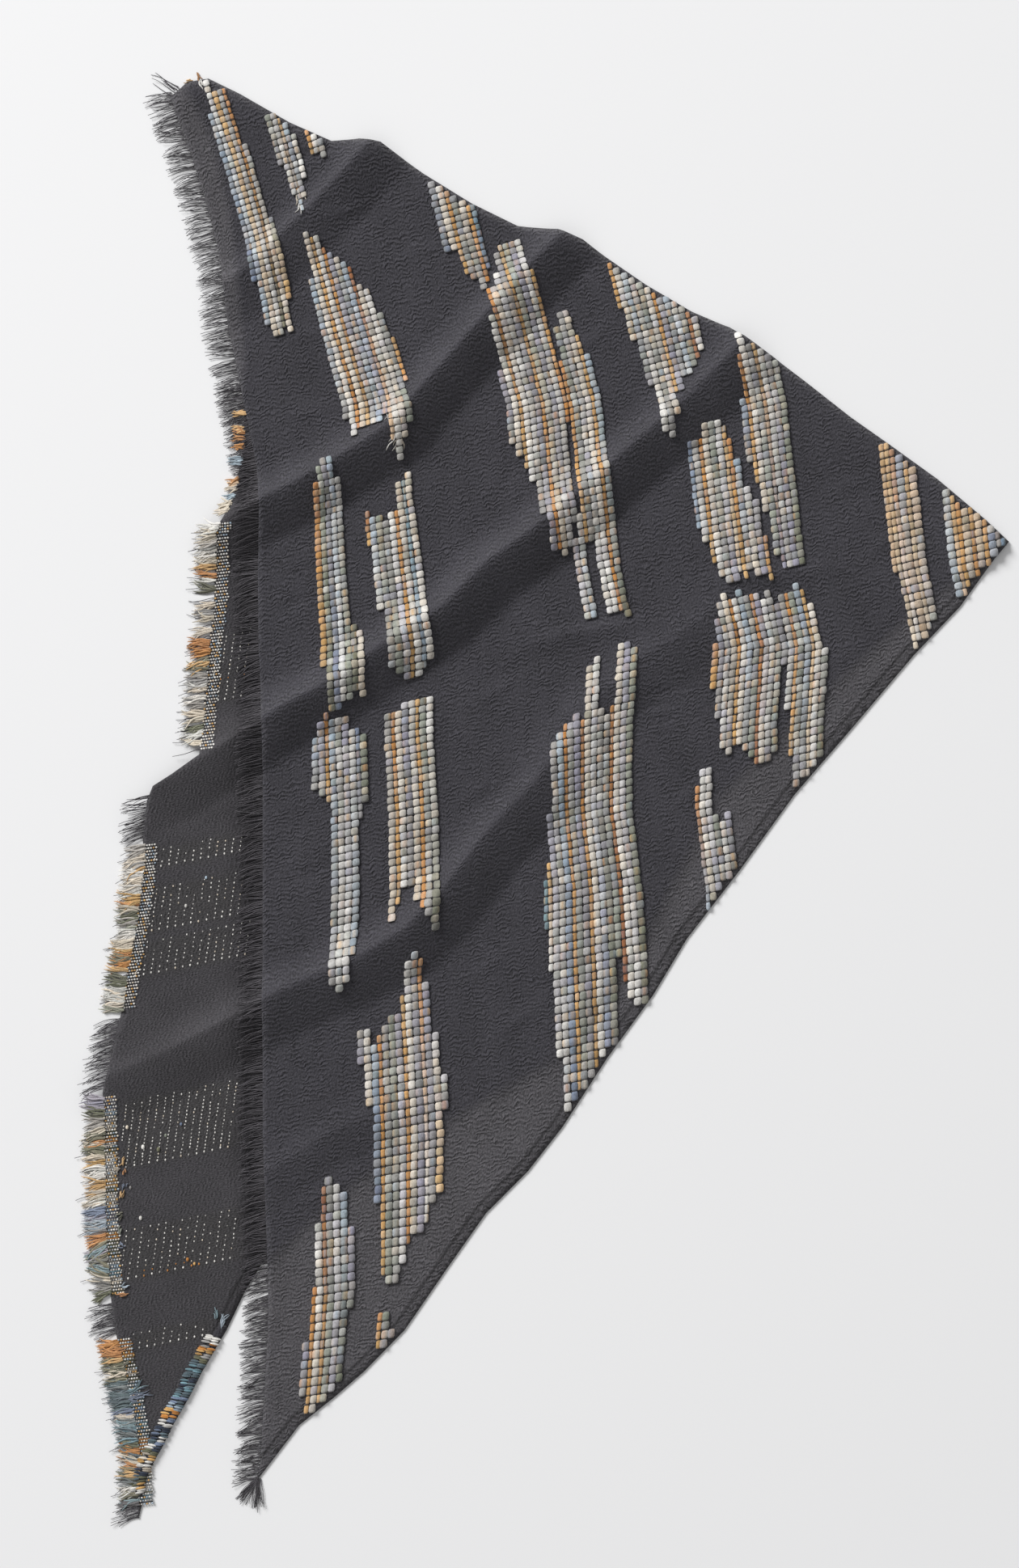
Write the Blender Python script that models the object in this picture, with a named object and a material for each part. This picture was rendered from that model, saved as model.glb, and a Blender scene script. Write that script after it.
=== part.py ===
"""Triangle scarf of crinkled gauze, folded in two along its middle and laid flat.

The cloth is half a square with two fringed legs and a hemmed long edge. The upper half shows its face,
with broken stripes of thick floating yarn, and the lower half sticks out at the left. +X is to the right
of the laid scarf, +Y towards its square corner and +Z up. Sizes are in millimetres unless named in metres.
"""
import functools
import itertools
import math

import bmesh
import bpy
import numpy as np
from mathutils import Vector
from mathutils.bvhtree import BVHTree
from mathutils.geometry import delaunay_2d_cdt

MM = 0.001

# Cloth and yarn.
WALL = 1.0                # one layer of gauze with its crinkle
LAYER_GAP = 0.4           # air between the two layers
SEAM_GAP = 0.45           # between a cloth edge and its fringe strip
YARN_LIFT = 0.3           # stripe yarn above the cloth
YARN_THICK = 1.2
COLUMN = 3.64             # pitch of the yarn columns
ROW = 4.79                # pitch of the tie-down rows
MID_COLUMN, RIGHT_COLUMN = 28, 63    # columns that the lattice table follows

# Fold, hem and fringe.
FOLD_INSET = 4.0          # lower layer's edge behind the fold
STEP_START, STEP_RUN = 0.8, 9.0      # beyond the lower layer the upper one comes down to the floor
HEM_WIDTH, HEM_INSET = 6.5, 1.0   # turned hem that shows on the lower tail, inside the edge
HEM_TOP, HEM_END = -332.6, -439.7     # y where it comes out from under the fringe, and ends
STRIP_WIDTH, STRIP_THICK = 2.6, 0.8
DARK_PITCH, DARK_REACH = 7.6, 15.0
YARN_PITCH, YARN_REACH = 7.4, 12.0
TIP_SHARE = 0.45          # a lock's tip against its root
LEAN = math.radians(8)    # fringe hangs this far below level
FEEL = 4.0                # a lock clears what lies this far round it
BEND = 0.12               # a lock that would leave its rest by more than this is bent once
AIR = 0.1                 # lowest gap to the floor under a strip or a lock

# Net of points that every layer shares: rows along the ridges, and few between them.
RIDGE_STEP = 23.0
RIDGE_SHARES = (-1.0, -0.66, -0.34, 0.0, 0.3, 0.6, 0.95)   # of the half width on each side
FLAT_STEP = 42.0
NET_CLEAR = 4.6
SNAP = 1.5                # points nearer than this are one
RIM = 1.2                 # stripes end this far inside the cloth's edge
SAG = 0.5                 # how far an edge may cut a ridge before it is split
SHORT = 9.0               # and no shorter edge is
EDGE_STEP = 26.0
ROW_STEP = 5.0            # rows between the points of a stripe's side
SKY = 99.0                # above all of it

# Rise of the fold's soft roll over the layers: distance from the fold, rise.
ROLL = ((0.0, -0.5), (4.0, 1.4), (10.0, 2.0), (20.0, 1.0), (32.0, 0.0))

# Upper layer's edges: x, y.
LEFT_EDGE = (
    (-234.7, 442.6), (-221.4, 405.4), (-211.2, 372.8), (-203.1, 340.1), (-198.5, 298.8),
    (-188.8, 251.9), (-180.6, 211.1), (-178.1, 187.6), (-179.6, 146.8), (-179.1, 95.8),
    (-176.5, 44.8), (-176.5, -123.5), (-176.5, -210.2), (-173.5, -291.8), (-173, -324.4),
    (-174.5, -358.1), (-178.1, -418.2), (-180.1, -429.5),
)
HEM_EDGE = (
    (-180.1, -429.5), (-153.6, -394.8), (-131.7, -377.4), (-112.8, -361.1), (-87.3, -335.1),
    (-59.2, -294.3), (-35.8, -261.2), (-9.3, -234.6), (12.2, -207.1), (40.7, -163.2),
    (69.3, -124), (90.7, -88.3), (123.8, -45.4), (158.5, 2.5), (194.2, 43.8),
    (233.5, 90.2), (263.1, 121.3), (284.5, 151.4), (293.7, 162.1),
)
FOLD_EDGE = (
    (293.7, 162.1), (278.4, 176.4), (248.8, 201.4), (217.7, 223.8), (193.7, 240.7),
    (165.2, 263.1), (146.3, 277.4), (117.7, 296.8), (93.8, 307), (65.2, 323.8),
    (39.2, 341.7), (24.9, 351.9), (9.6, 358), (-15.9, 361), (-45, 375.3),
    (-75.6, 394.2), (-102.1, 413.1), (-115.3, 415.6), (-133.2, 414.6), (-159.7, 426.3),
    (-190.8, 444.2), (-210.7, 453.9), (-224, 451.8), (-234.7, 442.6),
)

# Lower layer's edges that are not under the fold: x, y.
LOWER_HIDDEN_EDGE = (
    (-217.3, 440.1), (-205.6, 417.1), (-194.4, 371.2), (-188.3, 315.1), (-185.2, 274.3),
    (-187.8, 246.3),
)
LOWER_EDGE = (
    (-187.8, 246.3), (-189.3, 218.2), (-194.4, 191.7), (-206.1, 167.2), (-207.1, 126.4),
    (-210.7, 95.8), (-213.3, 65.2), (-214.8, 44.8), (-216.3, 28.5), (-233.7, 15.8),
    (-245.4, 8.1), (-249, -1.1), (-252, -26.1), (-251.5, -39.8), (-254.6, -59.2),
    (-256.1, -75.5), (-260.7, -99.5), (-263.2, -116.3), (-265.8, -135.2), (-271.9, -159.2),
    (-277, -184.7), (-277, -210.2), (-276.5, -261.2), (-274.5, -296.9), (-271.9, -317.3),
    (-268.9, -337.7), (-262.7, -367.8), (-258.1, -391.2), (-254.6, -414.7), (-255.1, -436.1),
    (-255.1, -453.9),
)
LOWER_HEM = (
    (-255.1, -453.9), (-251.5, -440.7), (-250, -429), (-245.4, -418.2), (-239.3, -407.5),
    (-232.6, -393.8), (-223, -377.4), (-214.8, -361.1), (-199.5, -335.1), (-187.8, -310.6),
    (-174, -287.7), (-123, -240.8), (-61.8, -200), (9.6, -159.2), (65.7, -77.6),
    (106.5, 1.5), (167.7, 62.7), (223.8, 113.7), (264.6, 145.8), (280.9, 155),
    (289.1, 162.1),
)

# Ridges of the laid cloth: name, half width on the lit and on the far side, then x, y, rise.
RIDGES = (
    ("shoulder", 18, 32, (
       (-212.2, 317.2, 5), (-189.3, 332, 7), (-168.9, 350.8, 8), (-138.3, 380.9, 9),
       (-115.3, 405.9, 9), (-102.6, 422.2, 8),)),
    ("second", 17, 33, (
       (-204.6, 172.3, 10), (-184.2, 185.1, 12), (-161.2, 196.3, 13), (-138.3, 209.1, 14),
       (-112.8, 224.4, 14), (-92.4, 238.6, 14), (-79.6, 255.5, 14), (-56.7, 281, 14),
       (-34.8, 306, 13), (-15.9, 327.9, 12), (-0.6, 343.2, 11), (17.3, 361, 10),)),
    ("third", 17, 35, (
       (-265.8, -2.1, 11), (-253, 5.1, 12), (-231.6, 15.8, 13), (-209.7, 29.5, 14),
       (-186.7, 43.3, 15), (-163.8, 58.6, 15), (-140.8, 70.3, 15), (-107.7, 92.8, 14),
       (-87.3, 106, 14), (-64.3, 120.3, 15), (-36.3, 148.4, 15), (-10.8, 166.2, 15),
       (14.7, 186.6, 14), (40.2, 209.1, 14), (65.7, 231, 13), (91.2, 253.9, 12),
       (116.7, 278.4, 11), (134.6, 299.8, 10),)),
    ("fourth", 18, 38, (
       (-293.8, -184.7, 7), (-276, -175.5, 8), (-240.3, -160.2, 9), (-194.4, -136.2, 11),
       (-163.8, -119.4, 12), (-138.3, -108.2, 13), (-112.8, -96.9, 13), (-87.3, -81.6, 13),
       (-64.3, -58.7, 13), (-36.3, -21.5, 12), (-5.7, 10.2, 10), (19.8, 42.3, 6),
       (37.7, 65.2, 2),)),
    ("fan", 20, 34, (
       (-15.9, 14.2, 0), (14.7, 52.5, 3), (60.6, 88.2, 5), (101.4, 113.7, 4),
       (119.3, 134.1, 1),)),
    ("low", 18, 26, (
       (-189.3, -251, 1), (-166.3, -230.6, 3), (-138.3, -212.7, 4), (-110.2, -198.9, 3),
       (-77.1, -179.6, 1),)),
    ("pinch_left", 7, 12, (
       (-15.9, 95.8, 0.5), (14.7, 104.5, 2), (45.3, 108.6, 2.2), (70.8, 113.2, 0.5),)),
    ("pinch_right", 7, 11, (
       (106.5, 136.6, 0.6), (132, 141.2, 2), (167.7, 143.8, 1.5), (183, 146.8, 0.4),)),
)

# Lattice of the weave, down the cloth: y, x at the left edge, at the middle and at the right column.
LATTICE = (
    (452.8, -237.7, -145.9, -15.9),
    (401.8, -220.4, -132.2, -1.6),
    (350.8, -205.6, -119.4, 11.1),
    (299.8, -199, -103.6, 24.9),
    (248.8, -188.3, -87.3, 37.1),
    (197.8, -178.6, -82.7, 42.8),
    (146.8, -180.1, -76.1, 48.9),
    (95.8, -179.1, -68.9, 59.6),
    (44.8, -176.5, -69.4, 56.5),
    (-6.2, -176.5, -65.9, 56),
    (-57.2, -176.5, -64.3, 62.6),
    (-108.2, -176.5, -67.9, 66.2),
    (-159.2, -176.5, -64.9, 67.2),
    (-210.2, -176.5, -62.3, 68.3),
    (-261.2, -175, -62.8, 68.3),
    (-312.2, -173, -63.8, 68.3),
    (-363.2, -175, -69.4, 65.7),
    (-439.7, -181.1, -79.6, 60.6),
)
# Rise of a row per column pitch to the right, down the left edge: y there, slope.
ROW_SLOPE = ((452.8, 0.27), (146.8, 0.25), (-210.2, 0.22), (-312.2, 0.17), (-439.7, 0.15))
ROW_TOP = 503.8          # y of row 0 at the left edge

# Stripes: name, first and last column, top row at each, bottom row at each.
STRIPES = (
    ("stripe_01", 6.5, 12.5, 13, 14, 45, 46),
    ("stripe_02", 17, 22, 17, 22, 25, 31),
    ("stripe_03", 24, 27, 21, 23, 25, 25),
    ("stripe_04", 17, 25, 34, 42, 61, 60),
    ("stripe_04", 25, 29.5, 42, 50, 65, 60),
    ("stripe_05", 43, 49.5, 30, 36, 39.5, 44),
    ("stripe_06", 47, 52, 50.5, 47, 66, 82),
    ("stripe_06", 52, 56.5, 43, 48, 82, 79),
    ("stripe_07", 58, 60, 54, 54, 82, 83),
    ("stripe_07", 60, 63, 54, 60, 93, 93),
    ("stripe_08", 70.5, 76, 46, 50, 57, 70),
    ("stripe_08", 76, 83, 50, 56, 66, 61),
    ("stripe_09", 88.5, 95, 59, 64, 92, 92),
    ("stripe_10", 77.5, 87, 74, 72, 91, 92),
    ("stripe_11", 77, 88, 94, 94, 112, 116),
    ("stripe_12", 89.5, 95, 95, 95, 124, 118),
    ("stripe_13", 111, 116, 77, 82, 108, 105),
    ("stripe_14", 120, 130, 84, 94, 104, 98),
    ("stripe_15", 74, 77, 115, 116, 135, 132),
    ("stripe_15", 77, 80, 121, 121, 131, 128),
    ("stripe_16", 48, 56, 106, 104, 158, 150),
    ("stripe_16", 56, 60, 97, 104, 150, 138),
    ("stripe_16", 60, 63, 96, 97, 143, 145),
    ("stripe_17", 11, 14.5, 63, 65, 93, 94),
    ("stripe_17", 14.5, 17, 86, 86, 94, 94),
    ("stripe_18", 20, 25, 71, 73, 91, 94),
    ("stripe_18", 25, 28, 67, 67, 94, 91),
    ("stripe_19", 8.5, 11, 99, 97, 107, 109),
    ("stripe_19", 11, 15.5, 97, 99, 131, 127),
    ("stripe_20", 20, 24, 97, 97, 126, 122),
    ("stripe_20", 24, 28, 97, 97, 122, 127),
    ("stripe_21", 16.5, 22, 139, 137, 171, 169),
    ("stripe_21", 22, 28.5, 131, 132, 169, 160),
    ("stripe_22", 7.5, 13, 157, 158, 190, 187),
    ("stripe_23", 18, 21, 175, 175, 184, 181),
)

# Fringe strips: name, edge table, start and end y, pitch, reach, material.
FRINGES = (
    ("fringe_upper", "upper", 446.7, -430.5, DARK_PITCH, DARK_REACH, "dark"),
    ("fringe_first", "lower", 173.4, 30.6, YARN_PITCH, YARN_REACH, "mixed"),
    ("fringe_first_dark", "lower", 3, -24.5, DARK_PITCH, DARK_REACH, "dark"),
    ("fringe_second", "lower", -28.6, -133.7, YARN_PITCH, YARN_REACH, "mixed"),
    ("fringe_second_dark", "lower", -137.7, -182.6, DARK_PITCH, DARK_REACH, "dark"),
    ("fringe_third", "lower", -187.7, -313.2, YARN_PITCH, YARN_REACH, "mixed"),
    ("fringe_third_dark", "lower", -317.3, -336.6, DARK_PITCH, DARK_REACH, "dark"),
    ("fringe_fourth", "lower", -340.7, -445.8, YARN_PITCH, YARN_REACH, "mixed"),
)


def along(rows, step):
    """A table's line with its own points kept and more between them where they are far apart."""
    p = np.array(rows, float)[:, :2]
    out = [p[:1]]
    for a, b in zip(p[:-1], p[1:]):
        n = max(1, round(math.dist(a, b) / step))
        out.append(a + (b - a) * np.arange(1, n + 1)[:, None] / n)
    return np.concatenate(out)


def over(tree, x, y):
    """Height at which a lock lies clear on what the tree holds, or on the floor."""
    z = []
    for px, py in zip(x, y):
        tops = [0.0]
        for dx, dy in itertools.product((-FEEL, 0, FEEL), repeat=2):
            hit = tree.ray_cast(Vector((px + dx, py + dy, SKY)), Vector((0, 0, -1)))[0]
            tops.append(hit.z + LAYER_GAP if hit else AIR)
        z.append(max(tops) + STRIP_THICK / 2)
    return np.array(z)


def stretch(rows, start, end):
    """The part of an edge table from one y down to another."""
    p = np.array(rows, float)
    ends = [(np.interp(-y, -p[:, 1], p[:, 0]), y) for y in (start, end)]
    return [ends[0]] + [tuple(r) for r in p if end + 1 < r[1] < start - 1] + [ends[1]]


def shifted(line, distance):
    """The line moved to its right by a distance."""
    t = np.gradient(line, axis=0)
    t /= np.hypot(t[:, 0], t[:, 1])[:, None]
    return line + distance * np.stack([t[:, 1], -t[:, 0]], 1)


def nearest(x, y, rows):
    """Signed distance to a line, positive on its right, and the length along it."""
    p = np.array([r[:2] for r in rows], float)
    best = np.full(np.shape(x), 1e9)
    side, where, run = np.ones_like(best), np.zeros_like(best), 0.0
    for a, b in zip(p[:-1], p[1:]):
        d = b - a
        length = math.hypot(*d)
        t = np.clip(((x - a[0]) * d[0] + (y - a[1]) * d[1]) / length**2, 0, 1)
        ox, oy = x - a[0] - t * d[0], y - a[1] - t * d[1]
        r = np.hypot(ox, oy)
        closer = r < best
        best = np.where(closer, r, best)
        side = np.where(closer, np.sign(ox * d[1] - oy * d[0] + 1e-12), side)
        where = np.where(closer, run + t * length, where)
        run += length
    return best * side, where


def inside(x, y, ring):
    """Even-odd test of points in a closed outline."""
    odd = np.zeros(np.shape(x), bool)
    for (ax, ay), (bx, by) in zip(ring, np.roll(ring, -1, axis=0)):
        cross = (ay > y) != (by > y)
        odd ^= cross & (x < ax + (y - ay) * (bx - ax) / np.where(cross, by - ay, 1.0))
    return odd


def ridge_height(x, y):
    """Height of the cloth's ridges, none outside their widths."""
    z = np.zeros(np.shape(x))
    for _name, lit, far, rows in RIDGES:
        d, s = nearest(x, y, rows)
        p = np.array(rows, float)
        marks = np.concatenate([[0.0], np.cumsum(np.hypot(*np.diff(p[:, :2], axis=0).T))])
        across = np.clip(np.abs(d) / np.where(d > 0, far, lit), 0, 1)
        z = z + np.interp(s, marks, p[:, 2]) * np.cos(across * math.pi / 2) ** 2
    return z


def refined(line):
    """The line with more points where it crosses a ridge."""
    t = np.array([0.25, 0.5, 0.75])
    for _ in range(3):
        a, b = line[:-1], line[1:]
        spots = a[:, None] + (b - a)[:, None] * t[None, :, None]
        h, ends = ridge_height(spots[..., 0], spots[..., 1]), ridge_height(line[:, 0], line[:, 1])
        cut = np.abs(h - ends[:-1, None] - (ends[1:] - ends[:-1])[:, None] * t).max(axis=1)
        split = (cut > SAG) & (np.hypot(*(b - a).T) > SHORT)
        line = np.insert(line, np.nonzero(split)[0] + 1, (a[split] + b[split]) / 2, axis=0)
    return line


def slope_normals(x, y, height):
    """Unit normals of a height function."""
    h = 0.5
    gx = (height(x + h, y) - height(x - h, y)) / (2 * h)
    gy = (height(x, y + h) - height(x, y - h)) / (2 * h)
    n = np.stack([-gx, -gy, np.ones_like(gx)], 1)
    return n / np.linalg.norm(n, axis=1)[:, None]


FOLD = refined(along(FOLD_EDGE, EDGE_STEP))
UPPER_RING = np.concatenate([refined(along(LEFT_EDGE, EDGE_STEP)), refined(along(HEM_EDGE, EDGE_STEP))[1:],
                             FOLD[1:-1]])
INNER_FOLD = shifted(FOLD, -FOLD_INSET)[1:-1]
LOWER_RING = np.concatenate([along(LOWER_HIDDEN_EDGE, EDGE_STEP), refined(along(LOWER_EDGE, EDGE_STEP))[1:],
                             refined(along(LOWER_HEM, EDGE_STEP))[1:], INNER_FOLD])


def upper_height(x, y):
    """Middle of the upper wall: over the lower layer, down to the floor beyond it, with the fold's roll."""
    out, _ = nearest(x, y, np.concatenate([LOWER_RING, LOWER_RING[:1]]))
    off = np.where(inside(x, y, LOWER_RING), 0.0, np.abs(out))
    drop = np.clip((off - STEP_START) / STEP_RUN, 0, 1)
    drop = drop * drop * (3 - 2 * drop)
    fold, _ = nearest(x, y, FOLD)
    roll = np.interp(np.abs(fold), [r[0] for r in ROLL], [r[1] for r in ROLL])
    rise = (WALL + LAYER_GAP) * (1 - drop) + roll
    return WALL / 2 + np.maximum(rise, AIR / 2) + ridge_height(x, y)


def lower_height(x, y):
    """Middle of the lower wall, straight above a spot."""
    n = slope_normals(x, y, ridge_height)
    z = 1.5 * WALL + LAYER_GAP + ridge_height(x, y) - (WALL + LAYER_GAP) / n[:, 2]
    return np.maximum(z, WALL / 2)


def lower_point(x, y, offset):
    """Points of the lower layer's middle surface under the upper one, moved along the normal."""
    n = slope_normals(x, y, ridge_height)
    z = 1.5 * WALL + LAYER_GAP + ridge_height(x, y)
    return np.stack([x, y, z], 1) + n * (offset - WALL - LAYER_GAP)


def lattice_point(column, row):
    """Place of a column and row of the weave on the laid cloth."""
    v = ROW_TOP - row * ROW
    y = v + np.interp(-v, [-r[0] for r in ROW_SLOPE], [r[1] for r in ROW_SLOPE]) * column * COLUMN
    t = np.array(LATTICE, float)
    left, mid, right = (np.interp(-y, -t[:, 0], t[:, i]) for i in (1, 2, 3))
    if column < MID_COLUMN:
        x = left + (mid - left) * column / MID_COLUMN
    else:
        x = mid + (right - mid) * (column - MID_COLUMN) / (RIGHT_COLUMN - MID_COLUMN)
        if column > RIGHT_COLUMN:
            x = right + (column - RIGHT_COLUMN) * COLUMN
    return float(x), float(y)


def bundle_ring(c0, c1, top0, top1, end0, end1):
    """Outline of a bundle of columns, down its first side and up its last."""
    def side(c, a, b):
        return [lattice_point(c, r) for r in np.linspace(a, b, max(1, round((b - a) / ROW_STEP)) + 1)]
    return np.array(side(c0, top0, end0) + side(c1, top1, end1)[::-1])


def largest(faces):
    """The faces of the biggest patch that hangs together by whole edges."""
    owner, groups = {}, list(range(len(faces)))

    def root(i):
        while groups[i] != i:
            i = groups[i]
        return i

    for i, f in enumerate(faces):
        for a, b in zip(f, np.roll(f, -1)):
            j = owner.setdefault((min(a, b), max(a, b)), i)
            groups[root(i)] = root(j)
    roots = np.array([root(i) for i in range(len(faces))])
    names, counts = np.unique(roots, return_counts=True)
    return faces[roots == names[counts.argmax()]]


def sound(faces):
    """The biggest patch of the faces, with no two parts of it meeting in one point only."""
    while True:
        faces = largest(faces)
        pairs = np.sort(np.concatenate([faces[:, [0, 1]], faces[:, [1, 2]], faces[:, [2, 0]]]), axis=1)
        edges, uses = np.unique(pairs, axis=0, return_counts=True)
        spots, ends = np.unique(edges[uses == 1], return_counts=True)
        pinched = spots[ends > 2]
        if not len(pinched):
            return faces
        near = np.any(faces == pinched[0], axis=1)
        faces = np.concatenate([faces[~near], largest(faces[near])])


class Net:
    """Points and edges for one triangulation, with near points shared."""

    def __init__(self):
        self.points, self.edges = [], set()

    def add(self, p):
        if self.points:
            d = np.hypot(*(np.array(self.points) - p).T)
            if d.min() < SNAP:
                return int(d.argmin())
        self.points.append((float(p[0]), float(p[1])))
        return len(self.points) - 1

    def chain(self, line, closed=False):
        ids = [self.add(p) for p in line]
        for a, b in zip(ids, ids[1:] + ids[:1] if closed else ids[1:]):
            if a != b:
                self.edges.add((min(a, b), max(a, b)))


def build_net(bundles):
    """One triangulation for both layers, with their edges and the stripes' sides in it."""
    net = Net()
    net.chain(UPPER_RING, closed=True)
    net.chain(LOWER_RING, closed=True)
    net.chain(shifted(FOLD, -ROLL[2][0])[1:-1])
    inner = shifted(UPPER_RING, SNAP)
    for ring in bundles:
        ring = refined(np.concatenate([ring, ring[:1]]))
        keep = inside(ring[:, 0], ring[:, 1], UPPER_RING) & inside(ring[:, 0], ring[:, 1], inner)
        for run in np.split(np.arange(len(ring)), np.nonzero(np.diff(keep))[0] + 1):
            if keep[run[0]] and len(run) > 1:
                net.chain(ring[run])
    ends = [(np.array(net.points[a]), np.array(net.points[b])) for a, b in net.edges]
    spots = []
    for _name, lit, far, rows in RIDGES:
        line = along(rows, RIDGE_STEP)
        for share in RIDGE_SHARES:
            spots.extend(shifted(line, share * (far if share > 0 else lit)))
    lo, hi = np.min(net.points, axis=0), np.max(net.points, axis=0)
    spots.extend(itertools.product(np.arange(lo[0], hi[0], FLAT_STEP), np.arange(lo[1], hi[1], FLAT_STEP)))
    for x, y in spots:
        if not (inside(x, y, UPPER_RING) or inside(x, y, LOWER_RING)):
            continue
        if np.hypot(*(np.array(net.points) - (x, y)).T).min() < NET_CLEAR:
            continue
        if min(segment_distance(x, y, a, b) for a, b in ends) > NET_CLEAR:
            net.points.append((float(x), float(y)))
    points = [Vector(p) for p in net.points]
    verts, _edges, faces, *_ = delaunay_2d_cdt(points, sorted(net.edges), [], 0, 1e-4)
    return np.array([v[:] for v in verts]), np.array(faces)


def segment_distance(x, y, a, b):
    d = b - a
    t = min(1.0, max(0.0, ((x - a[0]) * d[0] + (y - a[1]) * d[1]) / max(1e-9, d @ d)))
    return math.hypot(x - a[0] - t * d[0], y - a[1] - t * d[1])


def make_material(name, colour, roughness):
    mat = bpy.data.materials.new(name)
    mat.use_nodes = True
    bsdf = mat.node_tree.nodes["Principled BSDF"]
    bsdf.inputs["Base Color"].default_value = (*colour, 1.0)
    bsdf.inputs["Roughness"].default_value = roughness
    return mat


def finish(bm, name, material, collection):
    """Turn a closed bmesh in millimetres into a named object in metres."""
    bmesh.ops.triangulate(bm, faces=[f for f in bm.faces if len(f.verts) > 3])
    bmesh.ops.recalc_face_normals(bm, faces=bm.faces)
    bmesh.ops.scale(bm, vec=(MM, MM, MM), verts=bm.verts)
    mesh = bpy.data.meshes.new(name)
    bm.to_mesh(mesh)
    bm.free()
    obj = bpy.data.objects.new(name, mesh)
    obj.data.materials.append(material)
    collection.objects.link(obj)
    return obj


def panel(points, faces, low, high, name, material, collection):
    """A wall between two offsets of the shared points, made by extruding its open surface."""
    bm = bmesh.new()
    key = bm.verts.layers.int.new("point")
    verts = {}
    for i in np.unique(faces):
        verts[i] = bm.verts.new(low[i])
        verts[i][key] = int(i)
    for f in faces:
        bm.faces.new([verts[i] for i in f])
    raised = bmesh.ops.extrude_face_region(bm, geom=list(bm.faces))["geom"]
    for v in raised:
        if isinstance(v, bmesh.types.BMVert):
            v.co = Vector(high[v[key]])
    return finish(bm, name, material, collection)


def settle(verts, top, height, share=1.0):
    """Lay the points of a strip on a height function, half its wall above and half below."""
    for v in verts:
        z = height(np.array([v.co.x]), np.array([v.co.y]))[0]
        v.co.z = max(z + (v[top] - 0.5) * STRIP_THICK * share, AIR + v[top] * STRIP_THICK * TIP_SHARE)


def strip(lines, height):
    """A low wall between two lines; its layers say which points are on the second line and on top."""
    bm = bmesh.new()
    second = bm.verts.layers.int.new("second")
    top = bm.verts.layers.int.new("top")
    grid = [[bm.verts.new((*p, 0.0)) for p in line] for line in lines]
    for v in grid[1]:
        v[second] = 1
    for i in range(len(lines[0]) - 1):
        bm.faces.new((grid[0][i], grid[0][i + 1], grid[1][i + 1], grid[1][i]))
    for v in bmesh.ops.extrude_face_region(bm, geom=list(bm.faces))["geom"]:
        if isinstance(v, bmesh.types.BMVert):
            v[top] = 1
    settle(bm.verts, top, height)
    return bm, second, top


def comb(line, out, height, name, material, collection, reach):
    """A narrow strip beside an edge with a lock fused to it at each step, each lock tapering to its tip."""
    side = shifted(line, SEAM_GAP)
    bm, second, top = strip((side, side + STRIP_WIDTH * out), height)
    outer = [f for f in bm.faces if all(v[second] for v in f.verts)]
    curved = [f for f in outer if bends(f, out, reach, height)]
    for faces, steps in ((curved, (0.5, 1.0)), ([f for f in outer if f not in curved], (1.0,))):
        done, was = 0.0, 1.0
        for share in steps if faces else ():
            faces = bmesh.ops.extrude_discrete_faces(bm, faces=faces)["faces"]
            now = 1 + (TIP_SHARE - 1) * share
            for f in faces:
                middle = f.calc_center_median()
                move = Vector((*(out * reach * (share - done)), 0.0))
                for v in f.verts:
                    v.co = middle + (v.co - middle) * (now / was) + move
                settle(f.verts, top, height, now)
            done, was = share, now
    return finish(bm, name, material, collection)


def bends(face, out, reach, height):
    """True where a straight lock of that reach would cut a ridge."""
    m = face.calc_center_median()
    t = np.array([0.0, 0.5, 1.0]) * reach
    z = height(m.x + out[0] * t, m.y + out[1] * t)
    return abs(z[1] - (z[0] + z[2]) / 2) > BEND


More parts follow.
